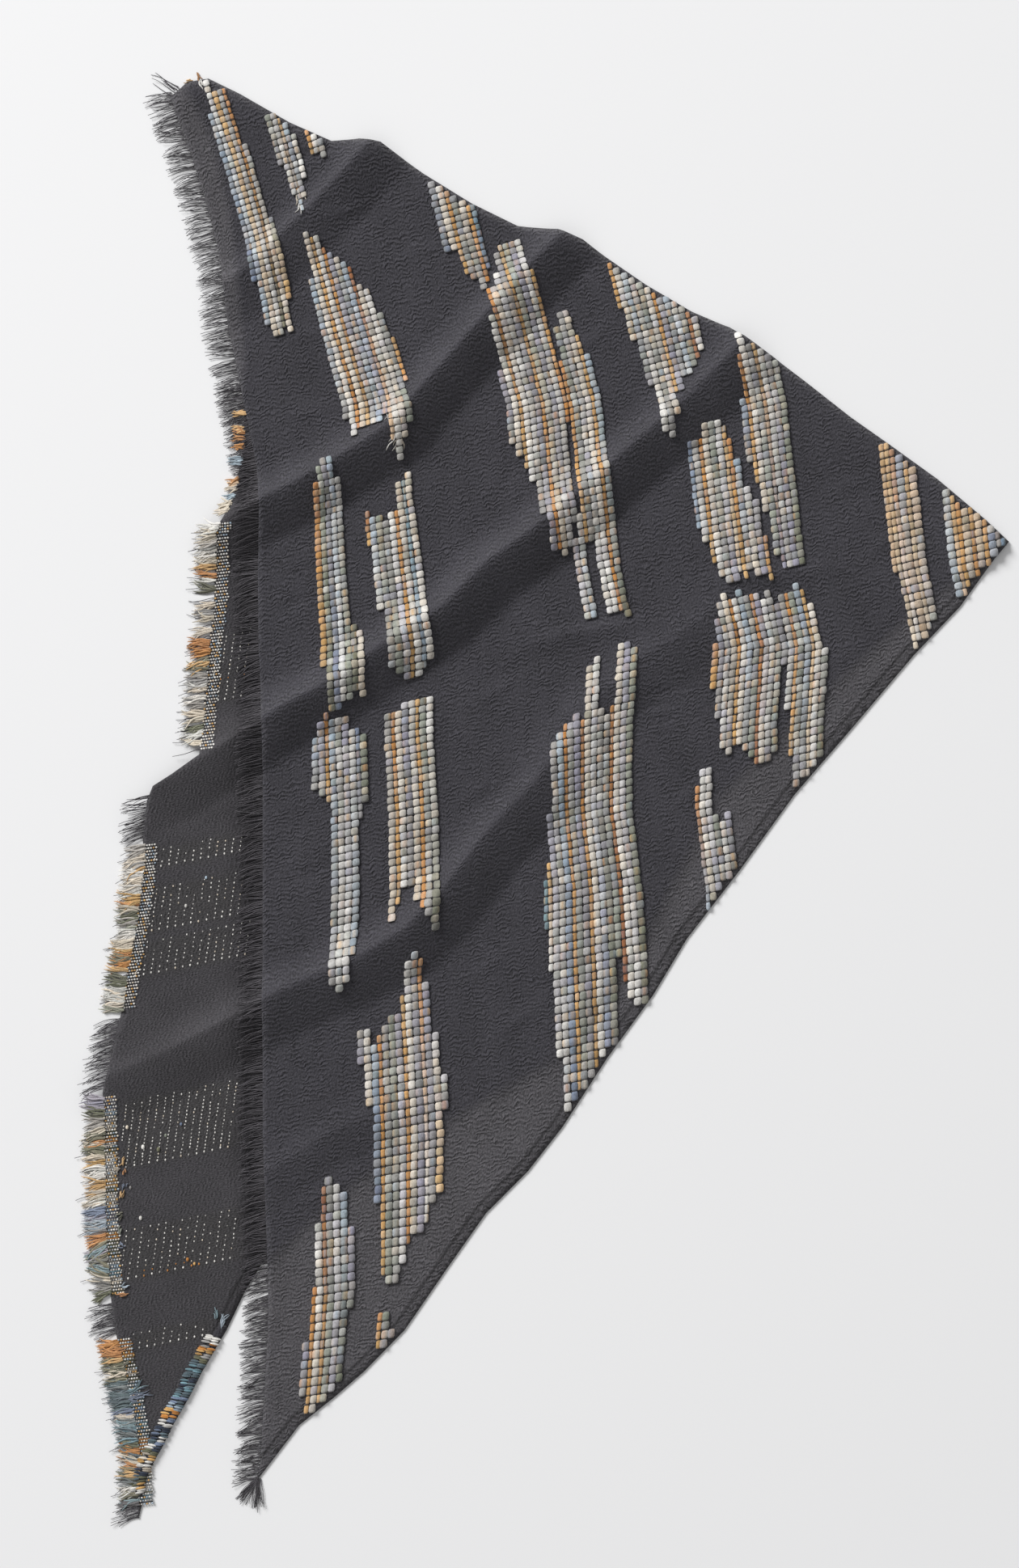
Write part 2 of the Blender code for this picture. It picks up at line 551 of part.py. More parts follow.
def main():
    for obj in list(bpy.data.objects):
        bpy.data.objects.remove(obj)
    scarf = bpy.data.collections.new("triangle_scarf")
    bpy.context.scene.collection.children.link(scarf)
    cloth = make_material("gauze", (0.065, 0.062, 0.068), 0.9)
    reverse = make_material("gauze_reverse", (0.075, 0.072, 0.08), 0.9)
    dark = make_material("dark_fringe", (0.05, 0.048, 0.053), 0.9)
    mixed = make_material("yarn_ends", (0.42, 0.33, 0.22), 0.9)
    yarn = make_material("stripe_yarn", (0.5, 0.47, 0.41), 0.9)
    slots = {"dark": dark, "mixed": mixed}

    groups = {}
    for name, *bundle in STRIPES:
        groups.setdefault(name, []).append(bundle_ring(*bundle))
    flat, faces = build_net([ring for rings in groups.values() for ring in rings])
    x, y = flat.T
    cx, cy = flat[faces].mean(axis=1).T

    upper = np.stack([x, y, upper_height(x, y)], 1)
    up = slope_normals(x, y, upper_height)
    on_upper = inside(cx, cy, UPPER_RING)
    panel(upper, faces[on_upper], upper - up * WALL / 2, upper + up * WALL / 2, "upper_layer", cloth, scarf)
    on_lower = inside(cx, cy, LOWER_RING)
    lower_top = lower_point(x, y, WALL / 2)
    panel(upper, faces[on_lower], lower_point(x, y, -WALL / 2), lower_top, "lower_layer", reverse, scarf)
    tree = BVHTree.FromPolygons(lower_top.tolist(), faces[on_lower].tolist())

    low, high = (upper + up * (WALL / 2 + YARN_LIFT + t) for t in (0.0, YARN_THICK))
    clear = inside(cx, cy, shifted(UPPER_RING, RIM))
    for name, rings in groups.items():
        chosen = on_upper & clear & np.any([inside(cx, cy, ring) for ring in rings], axis=0)
        panel(upper, sound(faces[chosen]), low, high, name, yarn, scarf)

    out = np.array([-math.cos(LEAN), -math.sin(LEAN)])
    for name, table, start, end, pitch, reach, slot in FRINGES:
        rows, height = LOWER_EDGE, lower_height
        if table == "upper":
            rows, height = LEFT_EDGE, functools.partial(over, tree)
        comb(along(stretch(rows, start, end), pitch), out, height, name, slots[slot], scarf, reach)

    edge = along(stretch(LOWER_HEM[::-1], HEM_TOP, HEM_END), EDGE_STEP)
    hem = [shifted(edge, HEM_INSET + w) for w in (0.0, HEM_WIDTH)]
    lift = (WALL + STRIP_THICK) / 2 + YARN_LIFT
    finish(strip(hem, lambda x, y: lower_height(x, y) + lift)[0], "hem_lower", reverse, scarf)


main()
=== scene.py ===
"""Looks of the triangle scarf: crinkled gauze in two layers, stripes of beaded yarn, fringe and hems."""

import itertools
import math

import bmesh
import bpy
import numpy as np
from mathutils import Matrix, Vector


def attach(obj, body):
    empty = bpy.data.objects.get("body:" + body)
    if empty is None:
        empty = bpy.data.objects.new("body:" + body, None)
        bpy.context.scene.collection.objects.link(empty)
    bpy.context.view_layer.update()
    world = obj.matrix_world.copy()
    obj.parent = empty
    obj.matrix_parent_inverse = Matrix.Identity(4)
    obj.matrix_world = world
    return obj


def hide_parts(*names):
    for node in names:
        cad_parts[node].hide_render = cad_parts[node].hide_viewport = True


bl_info = {
    "name": "Laid triangle scarf",
    "version": (1, 0, 0),
    "blender": (4, 5, 0),
    "location": "View3D > Sidebar > Scarf",
    "description": "Builds the gauze, the floating yarn stripes and the fringe of a laid triangle scarf",
    "category": "Object",
}

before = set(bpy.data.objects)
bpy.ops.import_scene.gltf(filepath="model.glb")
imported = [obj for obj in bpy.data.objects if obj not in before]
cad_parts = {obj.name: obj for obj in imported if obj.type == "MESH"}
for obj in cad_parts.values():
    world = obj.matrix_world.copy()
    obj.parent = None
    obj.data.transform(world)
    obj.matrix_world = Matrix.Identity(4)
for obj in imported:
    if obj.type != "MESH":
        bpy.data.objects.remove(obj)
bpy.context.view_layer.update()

MM = 0.001
WAVE = 6.28              # a full turn of a wave, in radians
SAME_PLACE = 1e-6        # metres within which points are one
SLIVER = 1e-5            # metres below which an edge or a face counts as none
SLOPE_STEP = 0.5         # how far to each side a slope is taken

# Photograph: its size in pixels, the pixel over the frame's origin, and the millimetres in a pixel.
PHOTO_WIDE, PHOTO_HIGH = 1260, 1939
ORIGIN_PIXEL = (671.17, 987.92)
PIXEL = 0.51

# Cloth, as in the solids.
WALL = 1.0
LAYER_GAP = 0.4
COLUMN, ROW = 3.64, 4.79
MID_COLUMN, RIGHT_COLUMN = 28, 63
STEP_START, STEP_RUN = 0.8, 9.0
ROLL = ((0.0, -0.5), (4.0, 1.4), (10.0, 2.0), (20.0, 1.0), (32.0, 0.0))

# Ridges beside the solids': share of the rise, shares of the lit and the far width, roundness of the crest,
# how the two flanks bend, the soft foot of the far one, and the band that counts as the crest.
RISE_SHARE, LIT_REACH, FAR_REACH, CREST_ROUND = 0.93, 1.25, 0.79, 1.6
LIT_BEND, FAR_BEND, FOOT = 2.7, 1.2, 0.06
CREST_BAND = 5
LEAST_LIFT = 0.05        # of the upper layer over the floor
# The upper layer's colour is painted lighter over this run, for the pale floor's light showing through one
# layer.
SINGLE_RUN = 7.0         # over which the upper layer turns lighter beyond the lower one
SHADE_START, SHADE_RUN = 10, 14.0      # of the lower layer's shade beside the upper layer's edge

# Upper layer's edges: x, y.
LEFT_EDGE = (
    (-234.7, 442.6), (-221.4, 405.4), (-211.2, 372.8), (-203.1, 340.1), (-198.5, 298.8),
    (-188.8, 251.9), (-180.6, 211.1), (-178.1, 187.6), (-179.6, 146.8), (-179.1, 95.8),
    (-176.5, 44.8), (-176.5, -123.5), (-176.5, -210.2), (-173.5, -291.8), (-173, -324.4),
    (-174.5, -358.1), (-178.1, -418.2), (-180.1, -429.5),
)
HEM_EDGE = (
    (-180.1, -429.5), (-153.6, -394.8), (-131.7, -377.4), (-112.8, -361.1), (-87.3, -335.1),
    (-59.2, -294.3), (-35.8, -261.2), (-9.3, -234.6), (12.2, -207.1), (40.7, -163.2),
    (69.3, -124), (90.7, -88.3), (123.8, -45.4), (158.5, 2.5), (194.2, 43.8),
    (233.5, 90.2), (263.1, 121.3), (284.5, 151.4), (293.7, 162.1),
)
FOLD_EDGE = (
    (293.7, 162.1), (278.4, 176.4), (248.8, 201.4), (217.7, 223.8), (193.7, 240.7),
    (165.2, 263.1), (146.3, 277.4), (117.7, 296.8), (93.8, 307), (65.2, 323.8),
    (39.2, 341.7), (24.9, 351.9), (9.6, 358), (-15.9, 361), (-45, 375.3),
    (-75.6, 394.2), (-102.1, 413.1), (-115.3, 415.6), (-133.2, 414.6), (-159.7, 426.3),
    (-190.8, 444.2), (-210.7, 453.9), (-224, 451.8), (-234.7, 442.6),
)

# Lower layer's edges that are not under the fold: x, y.
LOWER_HIDDEN_EDGE = (
    (-217.3, 440.1), (-205.6, 417.1), (-194.4, 371.2), (-188.3, 315.1), (-185.2, 274.3),
    (-187.8, 246.3),
)
LOWER_EDGE = (
    (-187.8, 246.3), (-189.3, 218.2), (-194.4, 191.7), (-206.1, 167.2), (-207.1, 126.4),
    (-210.7, 95.8), (-213.3, 65.2), (-214.8, 44.8), (-216.3, 28.5), (-233.7, 15.8),
    (-245.4, 8.1), (-249, -1.1), (-252, -26.1), (-251.5, -39.8), (-254.6, -59.2),
    (-256.1, -75.5), (-260.7, -99.5), (-263.2, -116.3), (-265.8, -135.2), (-271.9, -159.2),
    (-277, -184.7), (-277, -210.2), (-276.5, -261.2), (-274.5, -296.9), (-271.9, -317.3),
    (-268.9, -337.7), (-262.7, -367.8), (-258.1, -391.2), (-254.6, -414.7), (-255.1, -436.1),
    (-255.1, -453.9),
)
LOWER_HEM = (
    (-255.1, -453.9), (-251.5, -440.7), (-250, -429), (-245.4, -418.2), (-239.3, -407.5),
    (-232.6, -393.8), (-223, -377.4), (-214.8, -361.1), (-199.5, -335.1), (-187.8, -310.6),
    (-174, -287.7), (-123, -240.8), (-61.8, -200), (9.6, -159.2), (65.7, -77.6),
    (106.5, 1.5), (167.7, 62.7), (223.8, 113.7), (264.6, 145.8), (280.9, 155),
    (289.1, 162.1),
)

# Ridges of the laid cloth: name, half width on the lit and on the far side, then x, y, rise.
RIDGES = (
    ("shoulder", 12, 34, (
       (-212.2, 317.2, 5), (-189.3, 332, 6.5), (-168.9, 350.8, 7.5), (-138.3, 380.9, 8.5),
       (-115.3, 405.9, 9), (-102.6, 422.2, 8),)),
    ("second", 17, 33, (
       (-204.6, 172.3, 10), (-184.2, 185.1, 12), (-161.2, 196.3, 13), (-138.3, 209.1, 14),
       (-112.8, 224.4, 14), (-92.4, 238.6, 14), (-79.6, 255.5, 14), (-56.7, 281, 14),
       (-34.8, 306, 13), (-15.9, 327.9, 12), (-0.6, 343.2, 11), (17.3, 361, 10),)),
    ("third", 17, 35, (
       (-265.8, -2.1, 4), (-253, 5.1, 5), (-231.6, 15.8, 7), (-209.7, 29.5, 9.5),
       (-186.7, 43.3, 12.5), (-163.8, 58.6, 15), (-140.8, 70.3, 15), (-107.7, 92.8, 14),
       (-87.3, 106, 14), (-64.3, 120.3, 15), (-36.3, 148.4, 15), (-10.8, 166.2, 15),
       (14.7, 186.6, 14), (40.2, 209.1, 14), (65.7, 231, 13), (91.2, 253.9, 12),
       (116.7, 278.4, 11), (134.6, 299.8, 10),)),
    ("fourth", 18, 38, (
       (-293.8, -184.7, 4), (-276, -175.5, 5), (-240.3, -160.2, 7), (-194.4, -136.2, 10),
       (-163.8, -119.4, 12), (-138.3, -108.2, 13), (-112.8, -96.9, 13), (-87.3, -81.6, 13),
       (-64.3, -58.7, 13), (-36.3, -21.5, 12), (-5.7, 10.2, 10), (19.8, 42.3, 6),
       (37.7, 65.2, 2),)),
    ("fan", 20, 34, (
       (-15.9, 14.2, 0), (14.7, 52.5, 3), (60.6, 88.2, 5), (101.4, 113.7, 4),
       (119.3, 134.1, 1),)),
    ("low", 18, 26, (
       (-189.3, -251, 1), (-166.3, -230.6, 3), (-138.3, -212.7, 4), (-110.2, -198.9, 3),
       (-77.1, -179.6, 1),)),
    ("pinch_left", 7, 12, (
       (-15.9, 95.8, 0.5), (14.7, 104.5, 2), (45.3, 108.6, 2.2), (70.8, 113.2, 0.5),)),
    ("pinch_right", 7, 11, (
       (106.5, 136.6, 0.6), (132, 141.2, 2), (167.7, 143.8, 1.5), (183, 146.8, 0.4),)),
)

# Lattice of the weave, down the cloth: y, x at the left edge, at the middle and at the right column.
LATTICE = (
    (452.8, -237.7, -145.9, -15.9),
    (401.8, -220.4, -132.2, -1.6),
    (350.8, -205.6, -119.4, 11.1),
    (299.8, -199, -103.6, 24.9),
    (248.8, -188.3, -87.3, 37.1),
    (197.8, -178.6, -82.7, 42.8),
    (146.8, -180.1, -76.1, 48.9),
    (95.8, -179.1, -68.9, 59.6),
    (44.8, -176.5, -69.4, 56.5),
    (-6.2, -176.5, -65.9, 56),
    (-57.2, -176.5, -64.3, 62.6),
    (-108.2, -176.5, -67.9, 66.2),
    (-159.2, -176.5, -64.9, 67.2),
    (-210.2, -176.5, -62.3, 68.3),
    (-261.2, -175, -62.8, 68.3),
    (-312.2, -173, -63.8, 68.3),
    (-363.2, -175, -69.4, 65.7),
    (-439.7, -181.1, -79.6, 60.6),
)
# Rise of a row per column pitch to the right, down the left edge: y there, slope.
ROW_SLOPE = ((452.8, 0.27), (146.8, 0.25), (-210.2, 0.22), (-312.2, 0.17), (-439.7, 0.15))
ROW_TOP = 503.8          # y of row 0 at the left edge

HEM_WIDTH = 6.8
HEM_INSET, HEM_ACROSS = 0.5, 6.1      # of the turned hem on the tail

# Small creases of the upper layer: width, then x, y, rise.
CREASES = (
    (5, ((-163.8, 400.3, 0), (-152.6, 403.9, -1), (-138.3, 409, -1.4), (-125.5, 411, 0))),
    (4, ((-145.9, 370.2, 0), (-138.3, 373.8, -0.8), (-128.1, 376.3, 0))),
    (5, ((-43.9, 366.1, 0), (-36.3, 360, -1.4), (-25.1, 354.9, 0))),
    (4, ((-140.8, 363.6, 0), (-123, 370.2, 0.7), (-102.6, 375.3, 0))),
    (5, ((9.6, 350.8, 0), (22.4, 335.5, -0.9), (32.6, 324.3, 0))),
    (4, ((55.5, 64.2, 0), (73.4, 66.3, -0.9), (88.7, 69.3, 0))),
    (4, ((51.4, 55, 0), (70.8, 58.6, -0.9), (91.2, 62.7, 0))),
    (4, ((60.6, 47.4, 0), (75.9, 49.4, -0.8), (89.2, 52, 0))),
    (5, ((-166.3, 289.6, 0), (-148.5, 292.2, 0.8), (-128.1, 298.8, 0))),
    (6, ((-168.9, 238.6, 0), (-148.5, 242.7, 0.7), (-125.5, 251.4, 0))),
    (7, ((-166.3, 146.8, 0), (-143.4, 151.9, 0.8), (-117.9, 163.2, 0))),
    (5, ((-171.4, 116.2, 0), (-156.1, 123.9, -0.9), (-138.3, 129, 0))),
    (6, ((-56.7, 55, 0), (-31.2, 66.3, 0.8), (-8.2, 79.5, 0))),
    (6, ((116.7, 80.5, 0), (134.6, 95.8, 0.9), (155, 116.2, 0))),
    (6, ((172.8, 187.6, 0), (193.2, 197.8, 0.8), (213.6, 204, 0))),
    (6, ((198.3, 146.8, 0), (213.6, 161.1, 0.9), (228.9, 172.3, 0))),
    (7, ((-56.7, -123.5, 0), (-31.2, -103.1, 0.9), (-3.1, -82.7, 0))),
    (6, ((-36.3, -154.1, 0), (-15.9, -139.8, 0.8), (9.6, -120.9, 0))),
    (7, ((-166.3, -6.2, 0), (-138.3, 1.5, 0.8), (-107.7, 15.3, 0))),
    (6, ((-166.3, -52.1, 0), (-143.4, -47, -0.9), (-123, -37.8, 0))),
    (6, ((-56.7, -6.2, 0), (-36.3, 8.1, 0.8), (-10.8, 24.4, 0))),
    (6, ((-168.9, -261.2, 0), (-145.9, -252, 0.8), (-117.9, -236.7, 0))),
    (6, ((-163.8, -307.1, 0), (-145.9, -297.9, -0.8), (-123, -291.8, 0))),
    (6, ((-51.6, -210.2, 0), (-36.3, -195.9, 0.8), (-15.9, -174.5, 0))),
    (5, ((75.9, -11.3, 0), (91.2, 1.5, 0.8), (109.1, 19.3, 0))),
    (5, ((14.7, 279.4, 0), (27.5, 287.1, 0.7), (45.3, 299.8, 0))),
    (5, ((-97.5, 335.5, 0), (-77.1, 345.7, 0.7), (-56.7, 350.8, 0))),
    (5, ((-214.8, 427.3, 0), (-202, 409.5, 0.8), (-194.4, 386.5, 0))),
    (6, ((-36.3, 177.4, 0), (-23.5, 197.8, -0.8), (-15.9, 218.2, 0))),
    (5, ((223.8, 187.6, 0), (239.1, 177.4, -0.7), (257, 172.3, 0))),
    (5, ((106.5, 218.2, 0), (116.7, 202.9, 0.7), (121.8, 177.4, 0))),
    (5, ((-102.6, -154.1, 0), (-87.3, -138.8, -0.9), (-72, -128.6, 0))),
)

# Ends of the turned hem on the tail: y.
HEM_TOP, HEM_END = -332.6, -439.7
# Runs of thick yarn ends down the lower edge: y at the start and the end, share of the roots that carry yarn,
# pitch of the thin hairs among them, and the yarns.
YARN_RUNS = (
    (173.4, 30.6, 0.66, 2.4, "wcgwcmogvwcgwcgoomvgwcwgcvwcg"),
    (-28.6, -133.7, 0.95, 3.4, "gcmwcwmcvgwcvoomvwcs"),
    (-187.7, -313.2, 1.0, 4.5, "eelgcvocvcwwcmvwcbelgovvvaltcav"),
    (-340.7, -445.8, 1.0, 3.0, "omomvvcvddtddbddtddooowcvmvdwvtn"),
)
# Short yarn ends that peek out above them: y at the start and the end, share of the roots, yarns.
PEEKING_RUN = (245.0, 178.0, 0.35, "molpmc")
PEEKING_REACH = 0.6      # share of a full yarn end
YARN_ROOT_PITCH, YARN_HEADING = 2.65, 185
# Runs of thin fringe alone on the lower edge: y.
DARK_RUNS = ((3.0, -24.5), (-137.7, -182.6), (-317.3, -336.6), (-440.0, -453.0))
# Yarns of the short floats over the tail's hem, down the outer and the inner lane.
HEM_FLOATS = ("womgvdtdndtdbdlobwndwbnvmwcnvmw", "wgomvdtddtndtblmownbndwvcmwndvw")
FLOAT_LANES, FLOAT_PITCH, FLOAT_LEAN = (2.6, 7.2), 1.7, 0.35
FLOATS_TOP, FLOATS_END = -341, -438
# Thin fringe: pitch of the roots, and the radius and the share of the grey of its hairs.
EDGE_STEP = 4.0          # between the points of an edge that roots are spaced on
FRINGE_TURN_Y = 150      # above it the upper fringe is thinner
HAIR_POINTS, HAIR_ROOT, HAIR_TIP = 6, 0.27, 0.15
HAIR_GREY, TIE_GREY = (0.33, 0.32, 0.335), (0.25, 0.24, 0.24)
# Radii down one yarn end, one loose bit and one float over the hem.
END_RADII = (0.45, 0.58, 0.64, 0.64, 0.58, 0.5, 0.38, 0.16)
BIT_RADII = (0.26, 0.4, 0.44, 0.42, 0.38, 0.3, 0.15)
FLOAT_RADII = (0.35, 0.8, 0.95, 0.8, 0.35)

# Yarn colours by letter, as seen. A capital in a stripe is the same yarn at full width.
YARN = {
    "w": (0.83, 0.82, 0.80), "c": (0.80, 0.755, 0.69), "g": (0.61, 0.60, 0.59), "a": (0.54, 0.53, 0.51),
    "s": (0.54, 0.56, 0.51), "v": (0.41, 0.41, 0.33), "o": (0.74, 0.50, 0.25), "r": (0.60, 0.37, 0.22),
    "m": (0.78, 0.62, 0.39), "p": (0.82, 0.70, 0.57), "l": (0.61, 0.67, 0.72), "b": (0.45, 0.50, 0.59),
    "e": (0.58, 0.57, 0.63), "t": (0.43, 0.55, 0.59),
    "d": (0.35, 0.41, 0.44), "n": (0.21, 0.24, 0.30),
}
THIN_YARNS, THIN_WIDTH, FULL_WIDTH = "ormtb", 0.7, 1.08
NEUTRAL_YARNS = "wcgages"          # spun into every bead
STREAK_YARNS = "mmmolevc"          # that show as streaks on some beads
CARRIED_YARNS = "cgs"              # spun into the yarn ends
BAND_LIGHTS, DOT_LIGHTS = "wwwwcglm", "wwwwwcg"
BEAD_SHAPE = (0.56, 0.64, 0.85)    # powers that square a ball off, across, along and upwards
DOTTED_GROUND = (0.225, 0.22, 0.215)

# Pitch of the rows down the cloth, in rows of the lattice: row, pitch.
ROW_PITCH = ((30, 0.82), (52, 0.84), (62, 0.87), (80, 0.95), (110, 1.0), (121, 1.05), (134, 1.12),
             (152, 1.14), (175, 1.19))

# Stripes: name, then the top and the bottom as column, row points from left to right.
STRIPES = (
    ("stripe_01", ((6, 20), (7, 13), (11, 14), (12, 28), (13, 35)), ((6, 32), (7, 45), (12, 46), (13, 37))),
    ("stripe_02", ((17, 18), (21, 20), (22, 23)), ((17, 24), (18, 27), (19, 32), (21, 30), (22, 26))),
    ("stripe_03", ((24, 22), (26, 23), (27, 24)), ((24, 24), (25, 25.4), (27, 26))),
    ("stripe_04", ((17, 44), (18.5, 35), (20, 35), (22, 38), (25, 40), (27, 43), (28.8, 47), (29.8, 52)),
     ((17, 57), (18, 61), (21, 60), (25, 60), (26, 66), (28, 63), (29, 59), (29.8, 54))),
    ("stripe_05", ((43, 30), (47, 32), (50, 35)), ((43, 41), (45, 43), (46, 46), (48, 47), (50, 44))),
    ("stripe_06", ((46, 61), (47, 55), (48, 48), (50, 47), (52, 43), (56, 43), (57, 50)),
     ((46, 65), (48, 70), (50, 74), (51, 82), (54, 83), (56, 78), (57, 54))),
    ("stripe_07", ((55, 81), (57, 79), (57.1, 60), (59, 53), (61, 53), (62, 58), (63, 60)),
     ((55, 92), (57, 92), (57.1, 82), (59, 83), (59.5, 92), (63, 93))),
    ("stripe_08", ((70, 46), (76, 50), (82, 54), (83, 56)),
     ((70, 52), (72, 60), (73, 70), (75, 72), (76, 67), (79, 64), (82, 63), (83, 60))),
    ("stripe_09", ((87, 71), (89, 62), (92, 63), (95, 66)), ((87, 75), (89, 82), (91, 92), (95, 92))),
    ("stripe_10", ((77, 73), (80, 73), (81, 71), (83, 71), (85, 74), (86, 79), (88, 84), (89, 89)),
     ((77, 82), (79, 87), (80, 91), (89, 92))),
    ("stripe_11", ((76, 99), (78, 94), (88, 94)),
     ((76, 102), (78, 110), (79, 113), (82, 113), (85, 116), (88, 114))),
    ("stripe_12", ((88, 98), (89, 95), (92, 94), (94, 95), (95.5, 103)),
     ((88, 102), (90, 111), (91, 120), (92, 122), (95.5, 117))),
    ("stripe_13", ((110, 75), (113, 76), (115, 78), (116, 82)),
     ((110, 82), (111, 109), (115, 106), (116, 99))),
    ("stripe_14", ((120, 82), (125, 85), (130, 89)), ((120, 103), (121, 104), (128, 100), (130, 98))),
    ("stripe_15", ((74, 117), (75, 115), (77, 115), (77.5, 121), (80, 122)),
     ((74, 134), (77, 132), (80, 131))),
    ("stripe_16", ((46, 124), (48, 121), (49.5, 107), (53, 104), (54.9, 105), (55, 97), (57, 97), (57.1, 103),
                   (59.9, 105), (60, 96), (63, 97)),
     ((46, 128), (48, 138), (49, 158), (51, 158), (58, 150), (58.1, 136), (61, 142), (63, 144))),
    ("stripe_17", ((10, 70), (11, 63), (14, 64), (15, 68), (15.1, 85), (17, 86)),
     ((10, 83), (11, 95), (14, 95), (17, 94))),
    ("stripe_18", ((19, 70), (20, 72), (24, 73), (25, 70), (27, 67), (28, 68)),
     ((19, 73), (20, 79), (21, 90), (22, 93), (25, 94), (28, 91))),
    ("stripe_19", ((8, 99), (9, 97), (11, 96), (13, 97), (17, 100)),
     ((8, 103), (9, 106), (10.9, 108), (11, 130), (12, 132), (14, 130), (15, 126), (15.1, 111), (17, 107))),
    ("stripe_20", ((20, 97), (28, 97)), ((20, 126), (21, 124), (23, 121), (25, 122), (27, 126), (28, 128))),
    ("stripe_21", ((15, 138), (17, 139), (18, 141), (19, 138), (22, 137), (23, 132), (24, 130), (26, 131),
                   (27, 137), (28.5, 146)),
     ((15, 141), (16, 146), (17, 151), (18, 171), (21, 171), (23, 166), (26, 164), (28, 160), (28.5, 151))),
    ("stripe_22", ((6.5, 177), (8, 166), (9, 157), (13, 158), (14, 167)),
     ((6.5, 185), (7, 191), (12, 188), (13, 178), (14, 170))),
    ("stripe_23", ((18, 175), (20, 175), (21, 178)), ((18, 180), (20, 180.4), (21, 179))),
)

# Colours across each stripe, a letter a column; two letters fade from the first to the second.
ACROSS = {
    "stripe_01": "lb wl Mc gw ov gc sm",
    "stripe_02": "sg gw ml lg w",
    "stripe_03": "om w g",
    "stripe_04": "lg cw mo wc om eg gl le rp cw wc gs mo lt",
    "stripe_05": "gb wc om sg cg mo tb",
    "stripe_06": "eg wc om cw wg ge mo sc eg wg mo sv",
    "stripe_07": "ew wl om sg gw cw mo lv",
    "stripe_08": "om wc lg gw sg wc om ge lg wl gs or cw",
    "stripe_09": "lg om wc gs me wg ge sv",
    "stripe_10": "bl gw om cw sg we mc om lg wc ge om gs",
    "stripe_11": "Om eg gw cg om wc lg gs or ec wg gs cv",
    "stripe_12": "eg gw om sg lg mc cw gv",
    "stripe_13": "mp mc ow lp mc pg",
    "stripe_14": "wl mp om pc mo pc om lb rt tb bg",
    "stripe_15": "ol wc we sg wg ev",
    "stripe_16": "t mw ew gw lb om gs eg om cw wb gv gs or cw ew sv",
    "stripe_17": "Om sv gb lw gs v c",
    "stripe_18": "rm lw sg gs we om cw tl cw Mv",
    "stripe_19": "lg eg om lg gw ew wl bg sv",
    "stripe_20": "gc om cw eg wc mo sg wv",
    "stripe_21": "ge wc lb om gs sg ew mo wc ge ow eg wm wg v",
    "stripe_22": "eg om wc rm gs we lv",
    "stripe_23": "om sg g",
}

# Dotted bands on the reverse: left and right x, top y at the middle, number of dotted rows and their pitch.
DOT_BANDS = (
    (-204, -184, 106, 17, 2.6), (-244, -189, -27, 5, 2.6), (-253, -184, -52, 10, 2.8),
    (-259, -184, -85, 8, 2.8), (-262, -191, -184, 20, 2.15), (-262, -188, -265, 11, 3.0),
    (-258, -212, -333, 4, 3.0),
)
DOT_COLUMN, DOT_TILT, DOT_RISE = 4.95, 0.14, 0.2
# Dotted band that the yarn ends come out of: dots in a row, their pitch, the rows' slope and pitch by run.
BAND_DOTS, BAND_DOT_PITCH, BAND_SLOPE = 6, 1.65, 0.12
BAND_ROW_PITCH = (1.95, 1.95, 1.05, 1.05)

# Lint nubs caught in the reverse: x, y, size, yarn.
NUBS = (
    (-252, -219.4, 1.3, "w"), (-242.3, -220.9, 1.3, "v"), (-237.7, -212.2, 1.0, "s"),
    (-253.5, -264.2, 1.2, "w"),
    (-225, -67.4, 1.0, "w"), (-212.2, -49.6, 0.9, "l"), (-223.9, -290.3, 1.1, "o"), (-219.6, -293, 0.9, "m"),
    (-228, -205, 0.9, "b"), (-262, -207, 1.1, "c"), (-260, -245, 0.9, "g"),
)

# Loose bits of yarn: x, y, yarn, number of strands, heading in degrees, reach.
YARN_BITS = (
    (-203.1, -332.6, "l", 7, 75, 10), (-205.6, -327.5, "t", 4, 100, 8), (-264.8, -226.5, "m", 5, 250, 6),
    (-266.8, -233.1, "c", 5, 215, 5), (-263.8, -235.7, "o", 3, 80, 4), (-262.7, -243.3, "b", 4, 240, 4),
    (-265.8, -251, "m", 4, 60, 6), (-264.8, -261.2, "v", 5, 200, 5), (-265.8, -270.3, "s", 4, 240, 5),
    (-263.8, -281.6, "b", 4, 160, 4), (-262.7, -312.2, "o", 5, 185, 7), (-265.8, -307.1, "l", 4, 20, 6),
    (-215.8, 452.8, "w", 5, 300, 7), (-217.9, 456.9, "o", 4, 290, 6), (-221.9, 452.8, "m", 3, 200, 5),
    (-265.8, -374.4, "t", 6, 14, 21), (-265.8, -379, "b", 7, 16, 21), (-264.8, -384.6, "t", 5, 20, 15),
    (-265.8, -382.5, "b", 5, 16, 19), (-262.7, -346.8, "o", 5, 200, 7), (-260.7, -355, "v", 6, 205, 6),
    (-152.6, 388.6, "o", 4, 264, 10), (-154.1, 383.5, "c", 6, 262, 12), (-152.1, 376.3, "w", 5, 256, 9),
    (-94.4, 252.9, "w", 7, 272, 20), (-91.4, 248.8, "c", 6, 268, 22), (-87.3, 241.2, "m", 4, 262, 18),
    (-92.4, 230.5, "w", 6, 264, 16), (-89.3, 228.4, "c", 4, 258, 14),
)


def along(rows, step):
    """A table's line with its own points kept and more between them where they are far apart."""
    p = np.array(rows, float)[:, :2]
    out = [p[:1]]
    for a, b in zip(p[:-1], p[1:]):
        n = max(1, round(math.dist(a, b) / step))
        out.append(a + (b - a) * np.arange(1, n + 1)[:, None] / n)
    return np.concatenate(out)


